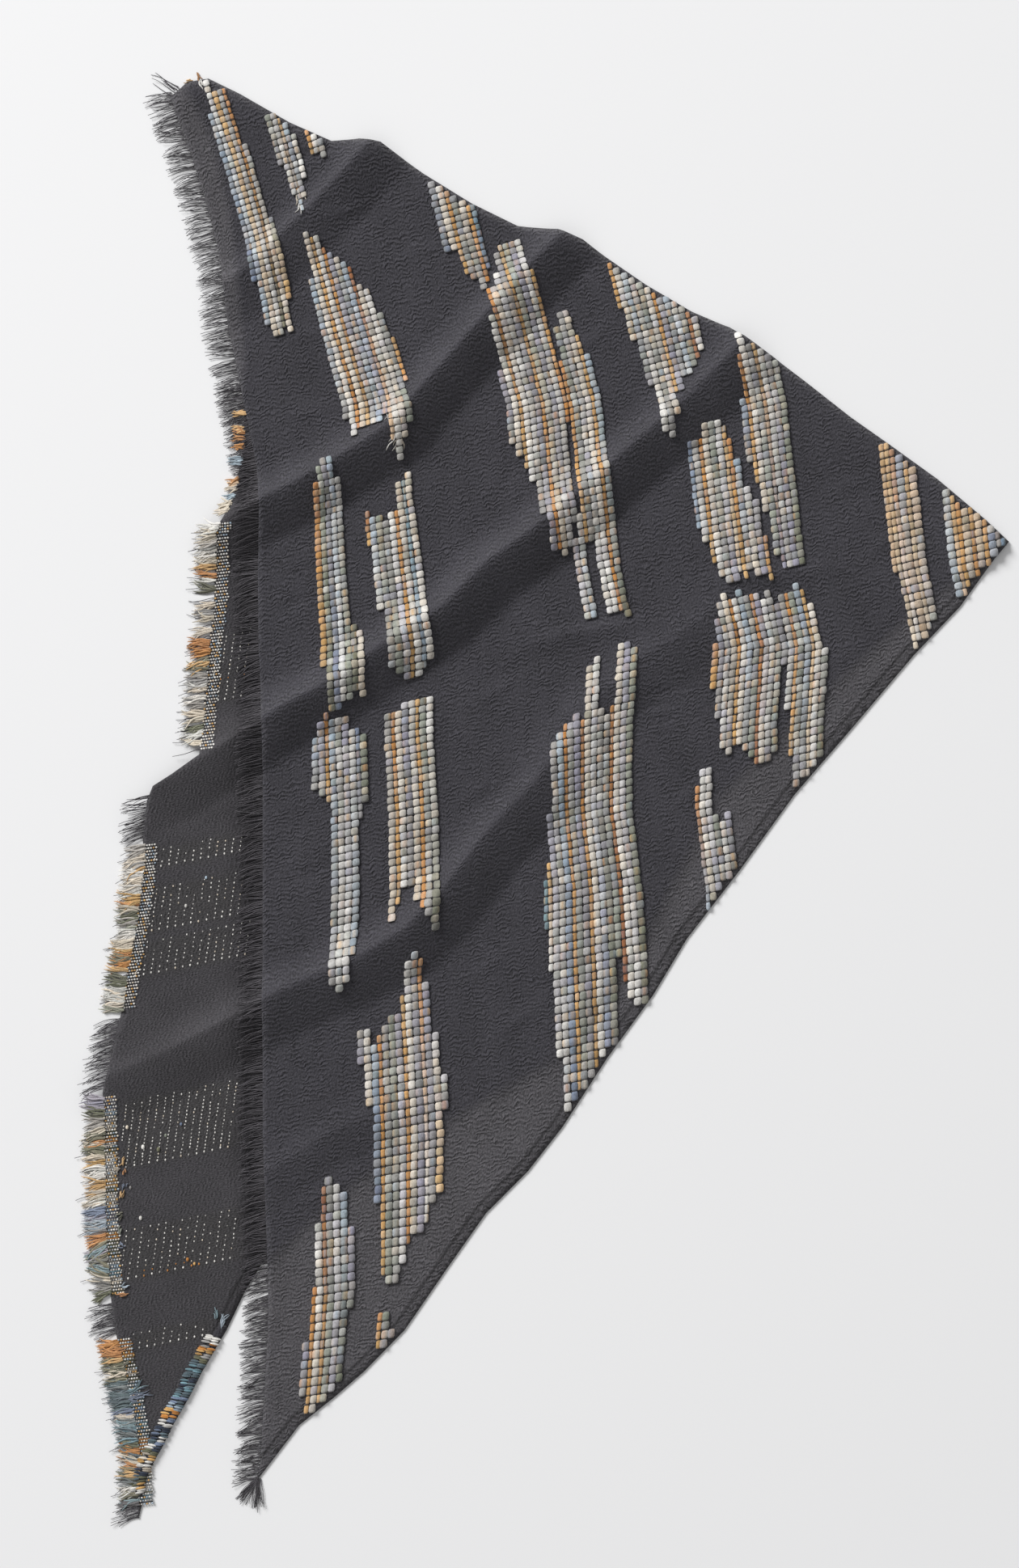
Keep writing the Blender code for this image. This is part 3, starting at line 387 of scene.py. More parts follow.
def stretch(rows, start, end):
    """The part of an edge table from one y down to another."""
    p = np.array(rows, float)
    ends = [(np.interp(-y, -p[:, 1], p[:, 0]), y) for y in (start, end)]
    return [ends[0]] + [tuple(r) for r in p if end + 1 < r[1] < start - 1] + [ends[1]]


def shifted(line, distance):
    """The line moved to its right by a distance."""
    t = np.gradient(line, axis=0)
    t /= np.hypot(t[:, 0], t[:, 1])[:, None]
    return line + distance * np.stack([t[:, 1], -t[:, 0]], 1)


def run_of(line):
    """Length along a line at each of its points."""
    return np.concatenate([[0.0], np.cumsum(np.hypot(*np.diff(line, axis=0).T))])


def spaced(line, step):
    """Points at even steps along a line."""
    run = run_of(line)
    marks = np.arange(step / 2, run[-1], step)
    return np.stack([np.interp(marks, run, line[:, i]) for i in (0, 1)], 1)


def roots_on(edge, start, end, pitch):
    """Points at an even pitch on an edge table, from one y down to another."""
    return spaced(along(stretch(edge, start, end), EDGE_STEP), pitch)


def nearest(x, y, rows):
    """Signed distance to a line, positive on its right, and the length along it."""
    p = np.array([r[:2] for r in rows], float)
    best = np.full(np.shape(x), 1e9)
    side, where, run = np.ones_like(best), np.zeros_like(best), 0.0
    for a, b in zip(p[:-1], p[1:]):
        d = b - a
        length = math.hypot(*d)
        t = np.clip(((x - a[0]) * d[0] + (y - a[1]) * d[1]) / length**2, 0, 1)
        ox, oy = x - a[0] - t * d[0], y - a[1] - t * d[1]
        r = np.hypot(ox, oy)
        closer = r < best
        best = np.where(closer, r, best)
        side = np.where(closer, np.sign(ox * d[1] - oy * d[0] + 1e-12), side)
        where = np.where(closer, run + t * length, where)
        run += length
    return best * side, where


def inside(x, y, ring):
    """Even-odd test of points in a closed outline."""
    odd = np.zeros(np.shape(x), bool)
    for (ax, ay), (bx, by) in zip(ring, np.roll(ring, -1, axis=0)):
        cross = (ay > y) != (by > y)
        odd ^= cross & (x < ax + (y - ay) * (bx - ax) / np.where(cross, by - ay, 1.0))
    return odd


UPPER_RING = np.array(LEFT_EDGE + HEM_EDGE[1:] + FOLD_EDGE[1:-1])
LOWER_RING = np.concatenate([LOWER_HIDDEN_EDGE, LOWER_EDGE[1:], LOWER_HEM[1:],
                             shifted(np.array(FOLD_EDGE), -4.0)[1:-1]])


def rise_over(x, y, rows):
    """Signed distance to a line of x, y, rise, and the rise where the line comes nearest."""
    p = np.array(rows, float)
    d, s = nearest(x, y, rows)
    return d, np.interp(s, run_of(p[:, :2]), p[:, 2])


def ridge_height(x, y):
    """Height of the cloth's ridges: a slow rise to a soft crest on the lit side, then a straighter flank."""
    z = np.zeros(np.shape(x))
    for _name, lit, far, rows in RIDGES:
        d, rise = rise_over(x, y, rows)
        off = np.sqrt(d * d + CREST_ROUND**2) - CREST_ROUND
        rising = np.clip(1 - off / (lit * LIT_REACH), 0, 1) ** LIT_BEND
        falling = np.clip(1 - (off / (far * FAR_REACH)) ** FAR_BEND, 0, 1)
        falling = (1 + FOOT) * falling**2 / (falling + FOOT)
        z = z + RISE_SHARE * rise * np.where(d > 0, falling, rising)
    return z


def near_crest(x, y):
    """Whether spots lie near a ridge's crest."""
    return np.any([np.abs(nearest(x, y, ridge[3])[0]) < CREST_BAND for ridge in RIDGES], axis=0)


def crease_height(x, y):
    """Small creases of the upper layer."""
    z = np.zeros(np.shape(x))
    for wide, rows in CREASES:
        d, rise = rise_over(x, y, rows)
        z = z + rise * np.exp(-((d / wide) ** 2) * 2)
    return z


def beyond_lower(x, y):
    """Distance beyond the lower layer's edge, 0 over it."""
    out, _ = nearest(x, y, np.concatenate([LOWER_RING, LOWER_RING[:1]]))
    return np.where(inside(x, y, LOWER_RING), 0.0, np.abs(out))


def upper_height(x, y):
    """Top of the upper layer's shell."""
    drop = np.clip((beyond_lower(x, y) - STEP_START) / STEP_RUN, 0, 1)
    drop = drop * drop * (3 - 2 * drop)
    fold, _ = nearest(x, y, FOLD_EDGE)
    roll = np.interp(np.abs(fold), *zip(*ROLL))
    rise = (WALL + LAYER_GAP) * (1 - drop) + roll
    rest = WALL + np.maximum(rise, LEAST_LIFT) + ridge_height(x, y)
    return np.maximum(rest + crease_height(x, y), WALL)


def slopes(x, y, height):
    """Slopes of a height function along x and along y."""
    h = SLOPE_STEP
    return (height(x + h, y) - height(x - h, y)) / (2 * h), (height(x, y + h) - height(x, y - h)) / (2 * h)


def lower_height(x, y):
    """Top of the lower layer's shell, straight above a spot."""
    gx, gy = slopes(x, y, ridge_height)
    steep = np.sqrt(1 + gx * gx + gy * gy)
    return np.maximum(1.5 * WALL + LAYER_GAP + ridge_height(x, y) - (WALL / 2 + LAYER_GAP) * steep, WALL)


def raised(x, y, height, lift):
    """Points over a height function, moved out along its normals."""
    gx, gy = slopes(x, y, height)
    n = np.stack([-gx, -gy, np.ones_like(gx)], -1)
    n /= np.linalg.norm(n, axis=-1)[..., None]
    return np.stack([x, y, height(x, y)], -1) + n * np.broadcast_to(lift, np.shape(x))[..., None]


def row_slope(v):
    """Rise of a row per column pitch, by its y at the left edge."""
    return np.interp(-v, [-r[0] for r in ROW_SLOPE], [r[1] for r in ROW_SLOPE])


def guides(y):
    """x of the lattice's left edge, of its middle and of its right column."""
    t = np.array(LATTICE, float)
    return [np.interp(-y, -t[:, 0], t[:, i]) for i in (1, 2, 3)]


def on_cloth(column, row):
    """Place of columns and rows of the weave on the laid cloth."""
    v = ROW_TOP - row * ROW
    y = v + row_slope(v) * column * COLUMN
    left, mid, right = guides(y)
    x = np.where(column < MID_COLUMN, left + (mid - left) * column / MID_COLUMN,
                 mid + (right - mid) * (column - MID_COLUMN) / (RIGHT_COLUMN - MID_COLUMN))
    return np.where(column > RIGHT_COLUMN, right + (column - RIGHT_COLUMN) * COLUMN, x), y


def weave_of(x, y):
    """Column and row of spots on the laid cloth."""
    left, mid, right = guides(y)
    column = np.where(x < mid, MID_COLUMN * (x - left) / (mid - left),
                      MID_COLUMN + (RIGHT_COLUMN - MID_COLUMN) * (x - mid) / (right - mid))
    column = np.where(x > right, RIGHT_COLUMN + (x - right) / COLUMN, column)
    v = y
    for _ in range(12):
        v = y - row_slope(v) * column * COLUMN
    return column, (ROW_TOP - v) / ROW


def linear(colour):
    """Scene colour of a seen one."""
    return tuple(c / 12.92 if c <= 0.04045 else ((c + 0.055) / 1.055) ** 2.4 for c in colour)


def yarn_colour(letter):
    """Scene colour of a yarn."""
    return np.array(linear(YARN[letter]))


def planned(yarns, number):
    """A run's yarns spread evenly over a number of places."""
    return [yarns[k * len(yarns) // number] for k in range(number)]


def pattern_of(bm):
    """Points and faces of a small shape that is repeated."""
    bm.verts.index_update()
    points = np.array([v.co[:] for v in bm.verts])
    faces = [tuple(v.index for v in f.verts) for f in bm.faces]
    bm.free()
    return points, faces


def bead_pattern(round_segments, rings):
    """A soft bead that lies along Y."""
    bm = bmesh.new()
    bmesh.ops.create_uvsphere(bm, u_segments=round_segments, v_segments=rings, radius=1.0)
    points, faces = pattern_of(bm)
    return points[:, [0, 2, 1]] * (1, -1, 1), faces


def thread_pattern(sides, steps):
    """A round thread along Z from 0 to its number of steps, closed at both ends."""
    bm = bmesh.new()
    end = bmesh.ops.create_circle(bm, cap_ends=True, segments=sides, radius=1.0)["verts"]
    bmesh.ops.reverse_faces(bm, faces=bm.faces)
    face = end[0].link_faces[0]
    for _ in range(steps):
        face = bmesh.ops.extrude_discrete_faces(bm, faces=[face])["faces"][0]
        bmesh.ops.translate(bm, vec=(0, 0, 1), verts=face.verts)
    bmesh.ops.recalc_face_normals(bm, faces=bm.faces)
    return pattern_of(bm)


def threads(paths, radii, sides=4):
    """Faces and places of round threads along paths, with a radius for each point of a path."""
    pattern, faces = thread_pattern(sides, paths.shape[1] - 1)
    along_path = np.gradient(paths, axis=1)
    along_path /= np.linalg.norm(along_path, axis=2)[..., None] + 1e-9
    across = np.cross(along_path, (0.0, 0.0, 1.0))
    across /= np.linalg.norm(across, axis=2)[..., None] + 1e-9
    up = np.cross(across, along_path)
    mark = np.rint(pattern[:, 2]).astype(int)
    radii = np.broadcast_to(radii, paths.shape[:2])[:, mark, None]
    ring = across[:, mark] * pattern[:, 0, None] + up[:, mark] * pattern[:, 1, None]
    return faces, paths[:, mark] + radii * ring


def joined(name, parts, look):
    """One mesh of batches of like shapes: each is faces, places and a colour for each shape or point."""
    whole, places, tints, start = [], [], [], 0
    for faces, batch, colours in parts:
        shapes, points = batch.shape[:2]
        whole += [tuple(start + i + points * k for i in f) for k in range(shapes) for f in faces]
        places.append(batch.reshape(-1, 3))
        each = np.broadcast_to(np.reshape(colours, (shapes, -1, 3)), (shapes, points, 3))
        tints.append(each.reshape(-1, 3))
        start += shapes * points
    mesh = bpy.data.meshes.new(name)
    mesh.from_pydata(np.concatenate(places) * MM, [], whole)
    paint(mesh, np.concatenate(tints))
    return put(name, mesh, look)


def paint(mesh, colours):
    """Yarn colour of each point."""
    tint = mesh.color_attributes.new(name="yarn", type="FLOAT_COLOR", domain="POINT")
    tint.data.foreach_set("color", np.concatenate([colours, np.ones((len(colours), 1))], 1).ravel())


def put(name, mesh, look):
    """A smooth-shaded object of a mesh, riding with the scarf."""
    mesh.polygons.foreach_set("use_smooth", np.ones(len(mesh.polygons), bool))
    mesh.materials.append(look)
    obj = bpy.data.objects.new(name, mesh)
    bpy.context.scene.collection.objects.link(obj)
    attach(obj, "root")
    return obj


def sheet_of(node, step, creases):
    """The top of a layer's solid as a flat open sheet, cut finer, and finest at crests and small creases."""
    bm = bmesh.new()
    bm.from_mesh(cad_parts[node].data)
    bmesh.ops.remove_doubles(bm, verts=bm.verts, dist=SAME_PLACE)
    under = {v for v in bm.verts if sum(f.calc_area() * f.normal.z for f in v.link_faces) < 0}
    bmesh.ops.delete(bm, geom=[f for f in bm.faces if not under.isdisjoint(f.verts)], context="FACES")
    for _ in range(9):
        edges = [e for e in bm.edges if e.calc_length() > step * MM / 2]
        if not edges:
            break
        ends = np.array([[*e.verts[0].co[:2], *e.verts[1].co[:2]] for e in edges]) / MM
        x, y = (ends[:, :2] + ends[:, 2:]).T / 2
        finest = near_crest(x, y)
        if creases:
            finest |= np.abs(crease_height(x, y)) > 0.05
        longest = np.where(finest, 0.5, 1.0) * step * MM
        far = [e for e, limit in zip(edges, longest) if e.calc_length() > limit]
        if not far:
            break
        bmesh.ops.subdivide_edges(bm, edges=far, cuts=1)
        bmesh.ops.triangulate(bm, faces=[f for f in bm.faces if len(f.verts) > 3])
        bmesh.ops.remove_doubles(bm, verts=bm.verts, dist=SAME_PLACE)
    for v in bm.verts:
        v.co.z = 0.0
    bmesh.ops.dissolve_degenerate(bm, dist=SLIVER, edges=bm.edges)
    bmesh.ops.triangulate(bm, faces=[f for f in bm.faces if len(f.verts) > 3])
    bmesh.ops.beautify_fill(bm, faces=bm.faces, edges=[e for e in bm.edges if not e.is_boundary])
    return bm


def lay_sheet(bm, name, height, weave, look, thick, marks):
    """Put the sheet's points on a height function, give it the weave's coordinates, marks and a thin wall."""
    bmesh.ops.recalc_face_normals(bm, faces=bm.faces)
    if sum(f.normal.z for f in bm.faces) < 0:
        bmesh.ops.reverse_faces(bm, faces=bm.faces)
    mesh = bpy.data.meshes.new(name)
    bm.to_mesh(mesh)
    bm.free()
    at = np.empty(len(mesh.vertices) * 3)
    mesh.vertices.foreach_get("co", at)
    at = at.reshape(-1, 3)
    x, y = at[:, 0] / MM, at[:, 1] / MM
    at[:, 2] = height(x, y) * MM
    mesh.vertices.foreach_set("co", at.ravel())
    loops = np.empty(len(mesh.loops), int)
    mesh.loops.foreach_get("vertex_index", loops)
    column, row = weave(x, y)
    mesh.uv_layers.new(name="weave").data.foreach_set("uv", np.stack([column, row], 1)[loops].ravel())
    for label, values in marks(x, y).items():
        mark = mesh.attributes.new(name=label, type="FLOAT", domain="POINT")
        mark.data.foreach_set("value", values)
    obj = put(name, mesh, look)
    wall = obj.modifiers.new("wall", "SOLIDIFY")
    wall.thickness, wall.offset = thick * MM, -1.0
    return obj


def strands(roots, heading, turn, reach, rng, wave, points, support, root_height, radius):
    """Paths of loose strands, which leave their roots at a heading, turn and settle on what is under them."""
    n = len(roots)
    t = np.linspace(0, 1, points)
    way = heading[:, None] + turn[:, None] * t
    phase = rng.uniform(0, WAVE, n)[:, None]
    way = way + np.radians(wave) * np.sin(phase + t * rng.uniform(4, 8, n)[:, None])
    step = (reach / (points - 1))[:, None]
    x = roots[:, 0, None] + np.cumsum(np.cos(way) * step, axis=1) - np.cos(way[:, :1]) * step
    y = roots[:, 1, None] + np.cumsum(np.sin(way) * step, axis=1) - np.sin(way[:, :1]) * step
    rest = support(x, y) + radius * rng.uniform(1.0, 3.2, n)[:, None]
    z = rest + np.maximum(root_height[:, None] - rest[:, :1], 0) * (1 - t) ** 2.5
    return np.stack([x, y, z], 2)


def node_group(name, inputs, outputs):
    """An empty shader group with its sockets: name, kind, default."""
    group = bpy.data.node_groups.new(name, "ShaderNodeTree")
    for label, kind, default in inputs:
        socket = group.interface.new_socket(label, in_out="INPUT", socket_type="NodeSocket" + kind)
        if default is not None:
            socket.default_value = default
    for label, kind in outputs:
        group.interface.new_socket(label, in_out="OUTPUT", socket_type="NodeSocket" + kind)
    return group, group.nodes.new("NodeGroupInput").outputs, group.nodes.new("NodeGroupOutput").inputs


class Wiring:
    """Short ways to add and link shader nodes."""

    def __init__(self, tree):
        self.nodes, self.links = tree.nodes, tree.links

    def add(self, kind, settings=(), **inputs):
        """A node with its settings and inputs, by name or as in0, in1 by place."""
        node = self.nodes.new("ShaderNode" + kind)
        for key, value in dict(settings).items():
            setattr(node, key, value)
        for key, value in inputs.items():
            by_place = key.startswith("in") and key[2:].isdigit()
            socket = node.inputs[int(key[2:]) if by_place else key.replace("_", " ")]
            if isinstance(value, bpy.types.NodeSocket):
                self.links.new(value, socket)
            else:
                socket.default_value = value
        return node

    def math(self, operation, a, b=0.0):
        """The output of a Math node."""
        return self.add("Math", {"operation": operation}, in0=a, in1=b).outputs[0]

    def spread(self, value, low, high, to_low, to_high):
        """A value carried from one range to another."""
        ends = {"From_Min": low, "From_Max": high, "To_Min": to_low, "To_Max": to_high}
        return self.add("MapRange", {}, Value=value, **ends).outputs["Result"]

    def noise(self, place, scale, detail):
        """Flat noise over the weave's coordinates."""
        made = self.add("TexNoise", {"noise_dimensions": "2D"}, Vector=place, Scale=scale, Detail=detail)
        return made.outputs[0]

    def centred(self, value, share):
        """A noise about zero, to a share."""
        return self.math("MULTIPLY", self.math("SUBTRACT", value, 0.5), share)


def crinkle_group():
    """Scalloped ripples of the crinkled gauze along its rows, and its fine threads: a height, and a shade
    with painted highlights on the ripples and painted shade between them, the threads' grain and a mottle.
    """
    group = bpy.data.node_groups.get("gauze_crinkle")
    if group:
        return group
    group, given, result = node_group(
        "gauze_crinkle",
        (("Weave", "Vector", None), ("Ripples per Row", "Float", 1.5), ("Waviness", "Float", 0.5),
         ("Contrast", "Float", 1.0)),
        (("Height", "Float"), ("Shade", "Float")))
    bend_scale, bend_reach = 0.7, 4.4
    scallops, scallop_lean, scallop_depth = 1.5, 1.4, 0.4
    thread_scale, thread_height, thread_shade = 3.6, 1.6, 1.9
    # Shares of the painted highlight and the painted shade on the ripples, and of the mottle.
    painted_highlight_share, painted_shade_share, mottle_share = 0.46, 0.24, 0.45
    w = Wiring(group)
    split = w.add("SeparateXYZ", {}, Vector=given["Weave"])
    column, row = split.outputs[0], split.outputs[1]
    slow = w.add("CombineXYZ", {}, X=w.math("MULTIPLY", column, bend_scale),
                 Y=w.math("MULTIPLY", row, bend_scale))
    bend = w.centred(w.noise(slow.outputs[0], 1.0, 2.0), w.math("MULTIPLY", given["Waviness"], bend_reach))
    scallop = w.math("ADD", w.math("MULTIPLY", column, scallops), w.math("MULTIPLY", bend, scallop_lean))
    scallop = w.math("MULTIPLY", w.math("ABSOLUTE", w.math("SINE", scallop)), scallop_depth)
    run = w.math("ADD", w.math("MULTIPLY", row, given["Ripples per Row"]), w.math("ADD", bend, scallop))
    lines = w.math("SINE", w.math("MULTIPLY", run, 2 * math.pi))
    patches = w.spread(w.noise(given["Weave"], 0.5, 1.0), 0.35, 0.62, 0.2, 1.0)
    strength = w.math("MULTIPLY", patches, given["Contrast"])
    fine = w.math("SUBTRACT", w.noise(given["Weave"], thread_scale, 3.0), 0.5)
    # Painted highlight along the ripples' lines, and painted shade along the lines between them.
    painted_highlight = w.math("MULTIPLY", w.spread(lines, 0.35, 1.0, 0.0, painted_highlight_share), strength)
    painted_trough_shade = w.math("MULTIPLY", w.spread(lines, -1.0, -0.2, painted_shade_share, 0.0), strength)
    shade = w.math("ADD", w.math("SUBTRACT", painted_highlight, painted_trough_shade), 1.0)
    shade = w.math("ADD", shade, w.math("MULTIPLY", fine, thread_shade))
    mottle = w.centred(w.noise(given["Weave"], 0.13, 3.0), mottle_share)
    w.links.new(w.math("ADD", w.math("MULTIPLY", lines, strength), w.math("MULTIPLY", fine, thread_height)),
                result["Height"])
    w.links.new(w.math("ADD", shade, mottle), result["Shade"])
    return group


def fibre_group():
    """Fine fibres of soft spun yarn: a height and a shade."""
    group = bpy.data.node_groups.get("yarn_fibres")
    if group:
        return group
    group, given, result = node_group(
        "yarn_fibres", (("Place", "Vector", None), ("Fineness", "Float", 1.0)),
        (("Height", "Float"), ("Shade", "Float")))
    fibre_scale, clump_scale, fibre_share, clump_share = 1500.0, 420.0, 0.75, 0.5
    w = Wiring(group)
    drawn = w.add("Mapping", {}, Vector=given["Place"], Scale=(1.0, 0.45, 1.0), Rotation=(0.0, 0.0, 0.5))
    scale = w.math("MULTIPLY", given["Fineness"], fibre_scale)
    fuzz = w.add("TexNoise", {}, Vector=drawn.outputs[0], Scale=scale, Detail=3.0).outputs[0]
    scale = w.math("MULTIPLY", given["Fineness"], clump_scale)
    clumps = w.add("TexNoise", {}, Vector=given["Place"], Scale=scale, Detail=1.0).outputs[0]
    mixed = w.math("ADD", w.centred(fuzz, fibre_share), w.centred(clumps, clump_share))
    w.links.new(fuzz, result["Height"])
    w.links.new(w.math("ADD", mixed, 1.0), result["Shade"])
    return group


def new_look(name, **finish):
    """A material, its wiring and its shader, with the even values set on the shader's own sockets."""
    mat = bpy.data.materials.new(name)
    mat.use_nodes = True
    bsdf = mat.node_tree.nodes["Principled BSDF"]
    for label, value in finish.items():
        bsdf.inputs[label.replace("_", " ")].default_value = value
    return mat, Wiring(mat.node_tree), bsdf


def cover(w, bsdf, colour, shade, height, strength, depth):
    """Give a shader a shaded colour and a raised surface."""
    shaded = w.add("VectorMath", {"operation": "SCALE"}, in0=colour, Scale=shade)
    w.links.new(shaded.outputs[0], bsdf.inputs["Base Color"])
    bump = w.add("Bump", {}, Height=height, Strength=strength, Distance=depth)
    w.links.new(bump.outputs[0], bsdf.inputs["Normal"])


def gauze_material(name, colour, painted_light_colour, ripples, contrast=1.0):
    """Crinkled gauze with painted light: lighter where one layer lies on the pale floor and lets its light
    through, darker on the lower layer in painted shade beside the upper fringe, browner in the dotted bands,
    with a dark stitch line and painted shade inside the hem.
    """
    mat, w, bsdf = new_look(name, Roughness=0.95, Specular_IOR_Level=0.15, Sheen_Weight=0.12,
                            Sheen_Roughness=0.6)
    place = w.add("UVMap", {"uv_map": "weave"})
    crinkle = w.add("Group", {"node_tree": crinkle_group()}, Weave=place.outputs[0], Contrast=contrast)
    crinkle.inputs["Ripples per Row"].default_value = ripples
    painted_light_share, dotted, hem = (w.add("Attribute", {"attribute_name": label}).outputs["Fac"]
                           for label in ("painted_light_share", "dotted", "hem"))
    ground, light, brown = ((*linear(c), 1) for c in (colour, painted_light_colour, DOTTED_GROUND))
    # Painted light: the ground turns lighter where one layer of gauze lies on the pale floor, for the floor's
    # light showing through, and darker on the lower layer in the upper fringe's painted shade.
    ground = w.add("MixRGB", {}, Fac=painted_light_share, Color1=ground, Color2=light).outputs[0]
    ground = w.add("MixRGB", {}, Fac=dotted, Color1=ground, Color2=brown).outputs[0]
    # A dark stitch line along the hem, partly the stitch and partly painted shade of its groove, and painted
    # shade inside the hem, where its turned layers let less of the floor's light through.
    stitch_and_painted_groove_shade = w.spread(w.math("ABSOLUTE", w.math("SUBTRACT", hem, HEM_WIDTH)), 0.3, 1.5, 0.5, 1.0)
    painted_hem_shade = w.spread(hem, HEM_WIDTH - 0.4, HEM_WIDTH + 0.4, 0.84, 1.0)
    shade = w.math("MULTIPLY", crinkle.outputs["Shade"], w.math("MULTIPLY", stitch_and_painted_groove_shade, painted_hem_shade))
    cover(w, bsdf, ground, shade, crinkle.outputs["Height"], 0.8, 0.00042)
    return mat


def yarn_material(name, sheen):
    """Soft spun yarn in the colours of its piece."""
    mat, w, bsdf = new_look(name, Roughness=0.9, Specular_IOR_Level=0.2, Sheen_Weight=sheen)
    fibres = w.add("Group", {"node_tree": fibre_group()}, Place=w.add("TexCoord").outputs["Object"])
    tint = w.add("Attribute", {"attribute_name": "yarn"})
    cover(w, bsdf, tint.outputs["Color"], fibres.outputs["Shade"], fibres.outputs["Height"], 0.6, 0.0004)
    return mat


def yarn():
    """The look of every thick yarn."""
    return bpy.data.materials.get("soft_yarn") or yarn_material("soft_yarn", 0.25)


def dark_thread():
    """The look of the thin dark threads."""
    return bpy.data.materials.get("dark_thread") or yarn_material("dark_thread", 0.04)


class ClothSettings(bpy.types.PropertyGroup):
    thickness: bpy.props.FloatProperty(
        name="Gauze thickness", description="Thickness of one layer of gauze, in millimetres",
        default=0.7, min=0.2)
    mesh_step: bpy.props.FloatProperty(
        name="Mesh step", description="Longest edge of the gauze mesh, in millimetres", default=5.8, min=2.0)
    colour: bpy.props.FloatVectorProperty(
        name="Gauze colour", description="Charcoal of the ground weave", subtype="COLOR_GAMMA", size=3,
        default=(0.230, 0.225, 0.245))
    # Painted light: a lighter charcoal where one layer lies on the pale floor, for the floor's light showing
    # through the gauze.
    painted_light_colour: bpy.props.FloatVectorProperty(
        name="Single layer colour", description="Charcoal where one layer lies on the pale floor",
        subtype="COLOR_GAMMA", size=3, default=(0.302, 0.295, 0.308))
    reverse_colour: bpy.props.FloatVectorProperty(
        name="Reverse colour", description="Charcoal of the lower layer's reverse", subtype="COLOR_GAMMA",
        size=3, default=(0.243, 0.236, 0.248))
    shaded_colour: bpy.props.FloatVectorProperty(
        name="Colour under the fringe", description="Charcoal in the shade of the upper layer's fringe",
        subtype="COLOR_GAMMA", size=3, default=(0.195, 0.188, 0.2))
    ripples: bpy.props.FloatProperty(
        name="Ripples per row", description="Crinkle ripples in one row of the yarn lattice", default=1.7)


class YarnSettings(bpy.types.PropertyGroup):
    bead_height: bpy.props.FloatProperty(
        name="Bead height", description="Height of a yarn float over the gauze, in millimetres", default=1.6)
    stagger: bpy.props.FloatProperty(
        name="Stagger", description="Rows by which a column may end earlier or later",
        default=0.9, min=0, max=3)
    tie_width: bpy.props.FloatProperty(
        name="Tie thread width", description="Width of the threads that tie the floats down, in millimetres",
        default=0.46)
    fringe_reach: bpy.props.FloatProperty(
        name="Fringe reach", description="Length of the thin fringe, in millimetres", default=18.5)
    yarn_reach: bpy.props.FloatProperty(
        name="Yarn end reach", description="Length of the thick yarn ends, in millimetres", default=14.5)


class StageSettings(bpy.types.PropertyGroup):
    floor_colour: bpy.props.FloatVectorProperty(
        name="Floor colour", description="Pale floor", subtype="COLOR_GAMMA", size=3,
        default=(0.915, 0.915, 0.918))
    key_power: bpy.props.FloatProperty(
        name="Key light", description="Power of the broad light at the upper left, in watts", default=1065.0)
    fill_power: bpy.props.FloatProperty(
        name="Fill light", description="Strength of the light from all round", default=0.42)


class SCARF_OT_upper_gauze(bpy.types.Operator):
    """Lay the upper layer of gauze over its solid"""
    bl_idname = "scarf.upper_gauze"
    bl_label = "Upper gauze"

    def execute(self, context):
        s = context.scene.scarf_cloth
        look = gauze_material("gauze_face", s.colour, s.painted_light_colour, s.ripples)
        bm = sheet_of("upper_layer", s.mesh_step, True)
        obj = lay_sheet(bm, "gauze_upper", upper_height, weave_of, look, s.thickness, upper_marks)
        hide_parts("upper_layer")
        return {"FINISHED"}


class SCARF_OT_lower_gauze(bpy.types.Operator):
    """Lay the lower layer of gauze, whose reverse shows at the left"""
    bl_idname = "scarf.lower_gauze"
    bl_label = "Lower gauze"

    def execute(self, context):
        s = context.scene.scarf_cloth
        look = gauze_material("gauze_reverse_side", s.shaded_colour, s.reverse_colour, s.ripples * 1.2, 0.45)
        bm = sheet_of("lower_layer", s.mesh_step, False)
        obj = lay_sheet(bm, "gauze_lower", lower_height, reverse_weave, look, s.thickness, lower_marks)
        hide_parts("lower_layer")
        return {"FINISHED"}


def upper_marks(x, y):
    """Where the upper layer lies on the floor, where its colour is painted lighter for the floor's light
    showing through, and how far its points are from the hem.
    """
    painted_light_share = np.clip(beyond_lower(x, y) / SINGLE_RUN, 0, 1)
    return {"painted_light_share": painted_light_share, "hem": np.abs(nearest(x, y, HEM_EDGE)[0]), "dotted": np.zeros(np.shape(x))}


def lower_marks(x, y):
    """The dotted bands of the lower layer, the painted shade of the upper layer's fringe beside its edge, and
    how far its points are from the hem.
    """
    fade, side, above, below = 4.0, 6.0, 3, 1
    dotted = np.zeros(np.shape(x))
    for left, right, top, rows, pitch in DOT_BANDS:
        down = top + DOT_RISE * (x - (left + right) / 2) - y
        band = np.clip(np.minimum(down + above, rows * pitch + below - down) / fade, 0, 1)
        within = np.clip(np.minimum(x - left + side, right + side - x) / side, 0, 1)
        dotted = np.maximum(dotted, band * within)
    # Painted shade: the lower layer turns darker in a band beside the upper layer's edge, where its fringe
    # shades it, and its dotted bands fade there too.
    out_of_painted_shade = np.clip((np.abs(nearest(x, y, LEFT_EDGE)[0]) - SHADE_START) / SHADE_RUN, 0, 1)
    return {"painted_light_share": out_of_painted_shade, "hem": np.abs(nearest(x, y, LOWER_HEM)[0]), "dotted": 0.5 * dotted * out_of_painted_shade}


def reverse_weave(x, y):
    """Yarn lines and rows of the lower layer, whose weave lies turned by the fold."""
    return (y - 0.2 * x) / 3.0, (x + 0.14 * y) / 5.3


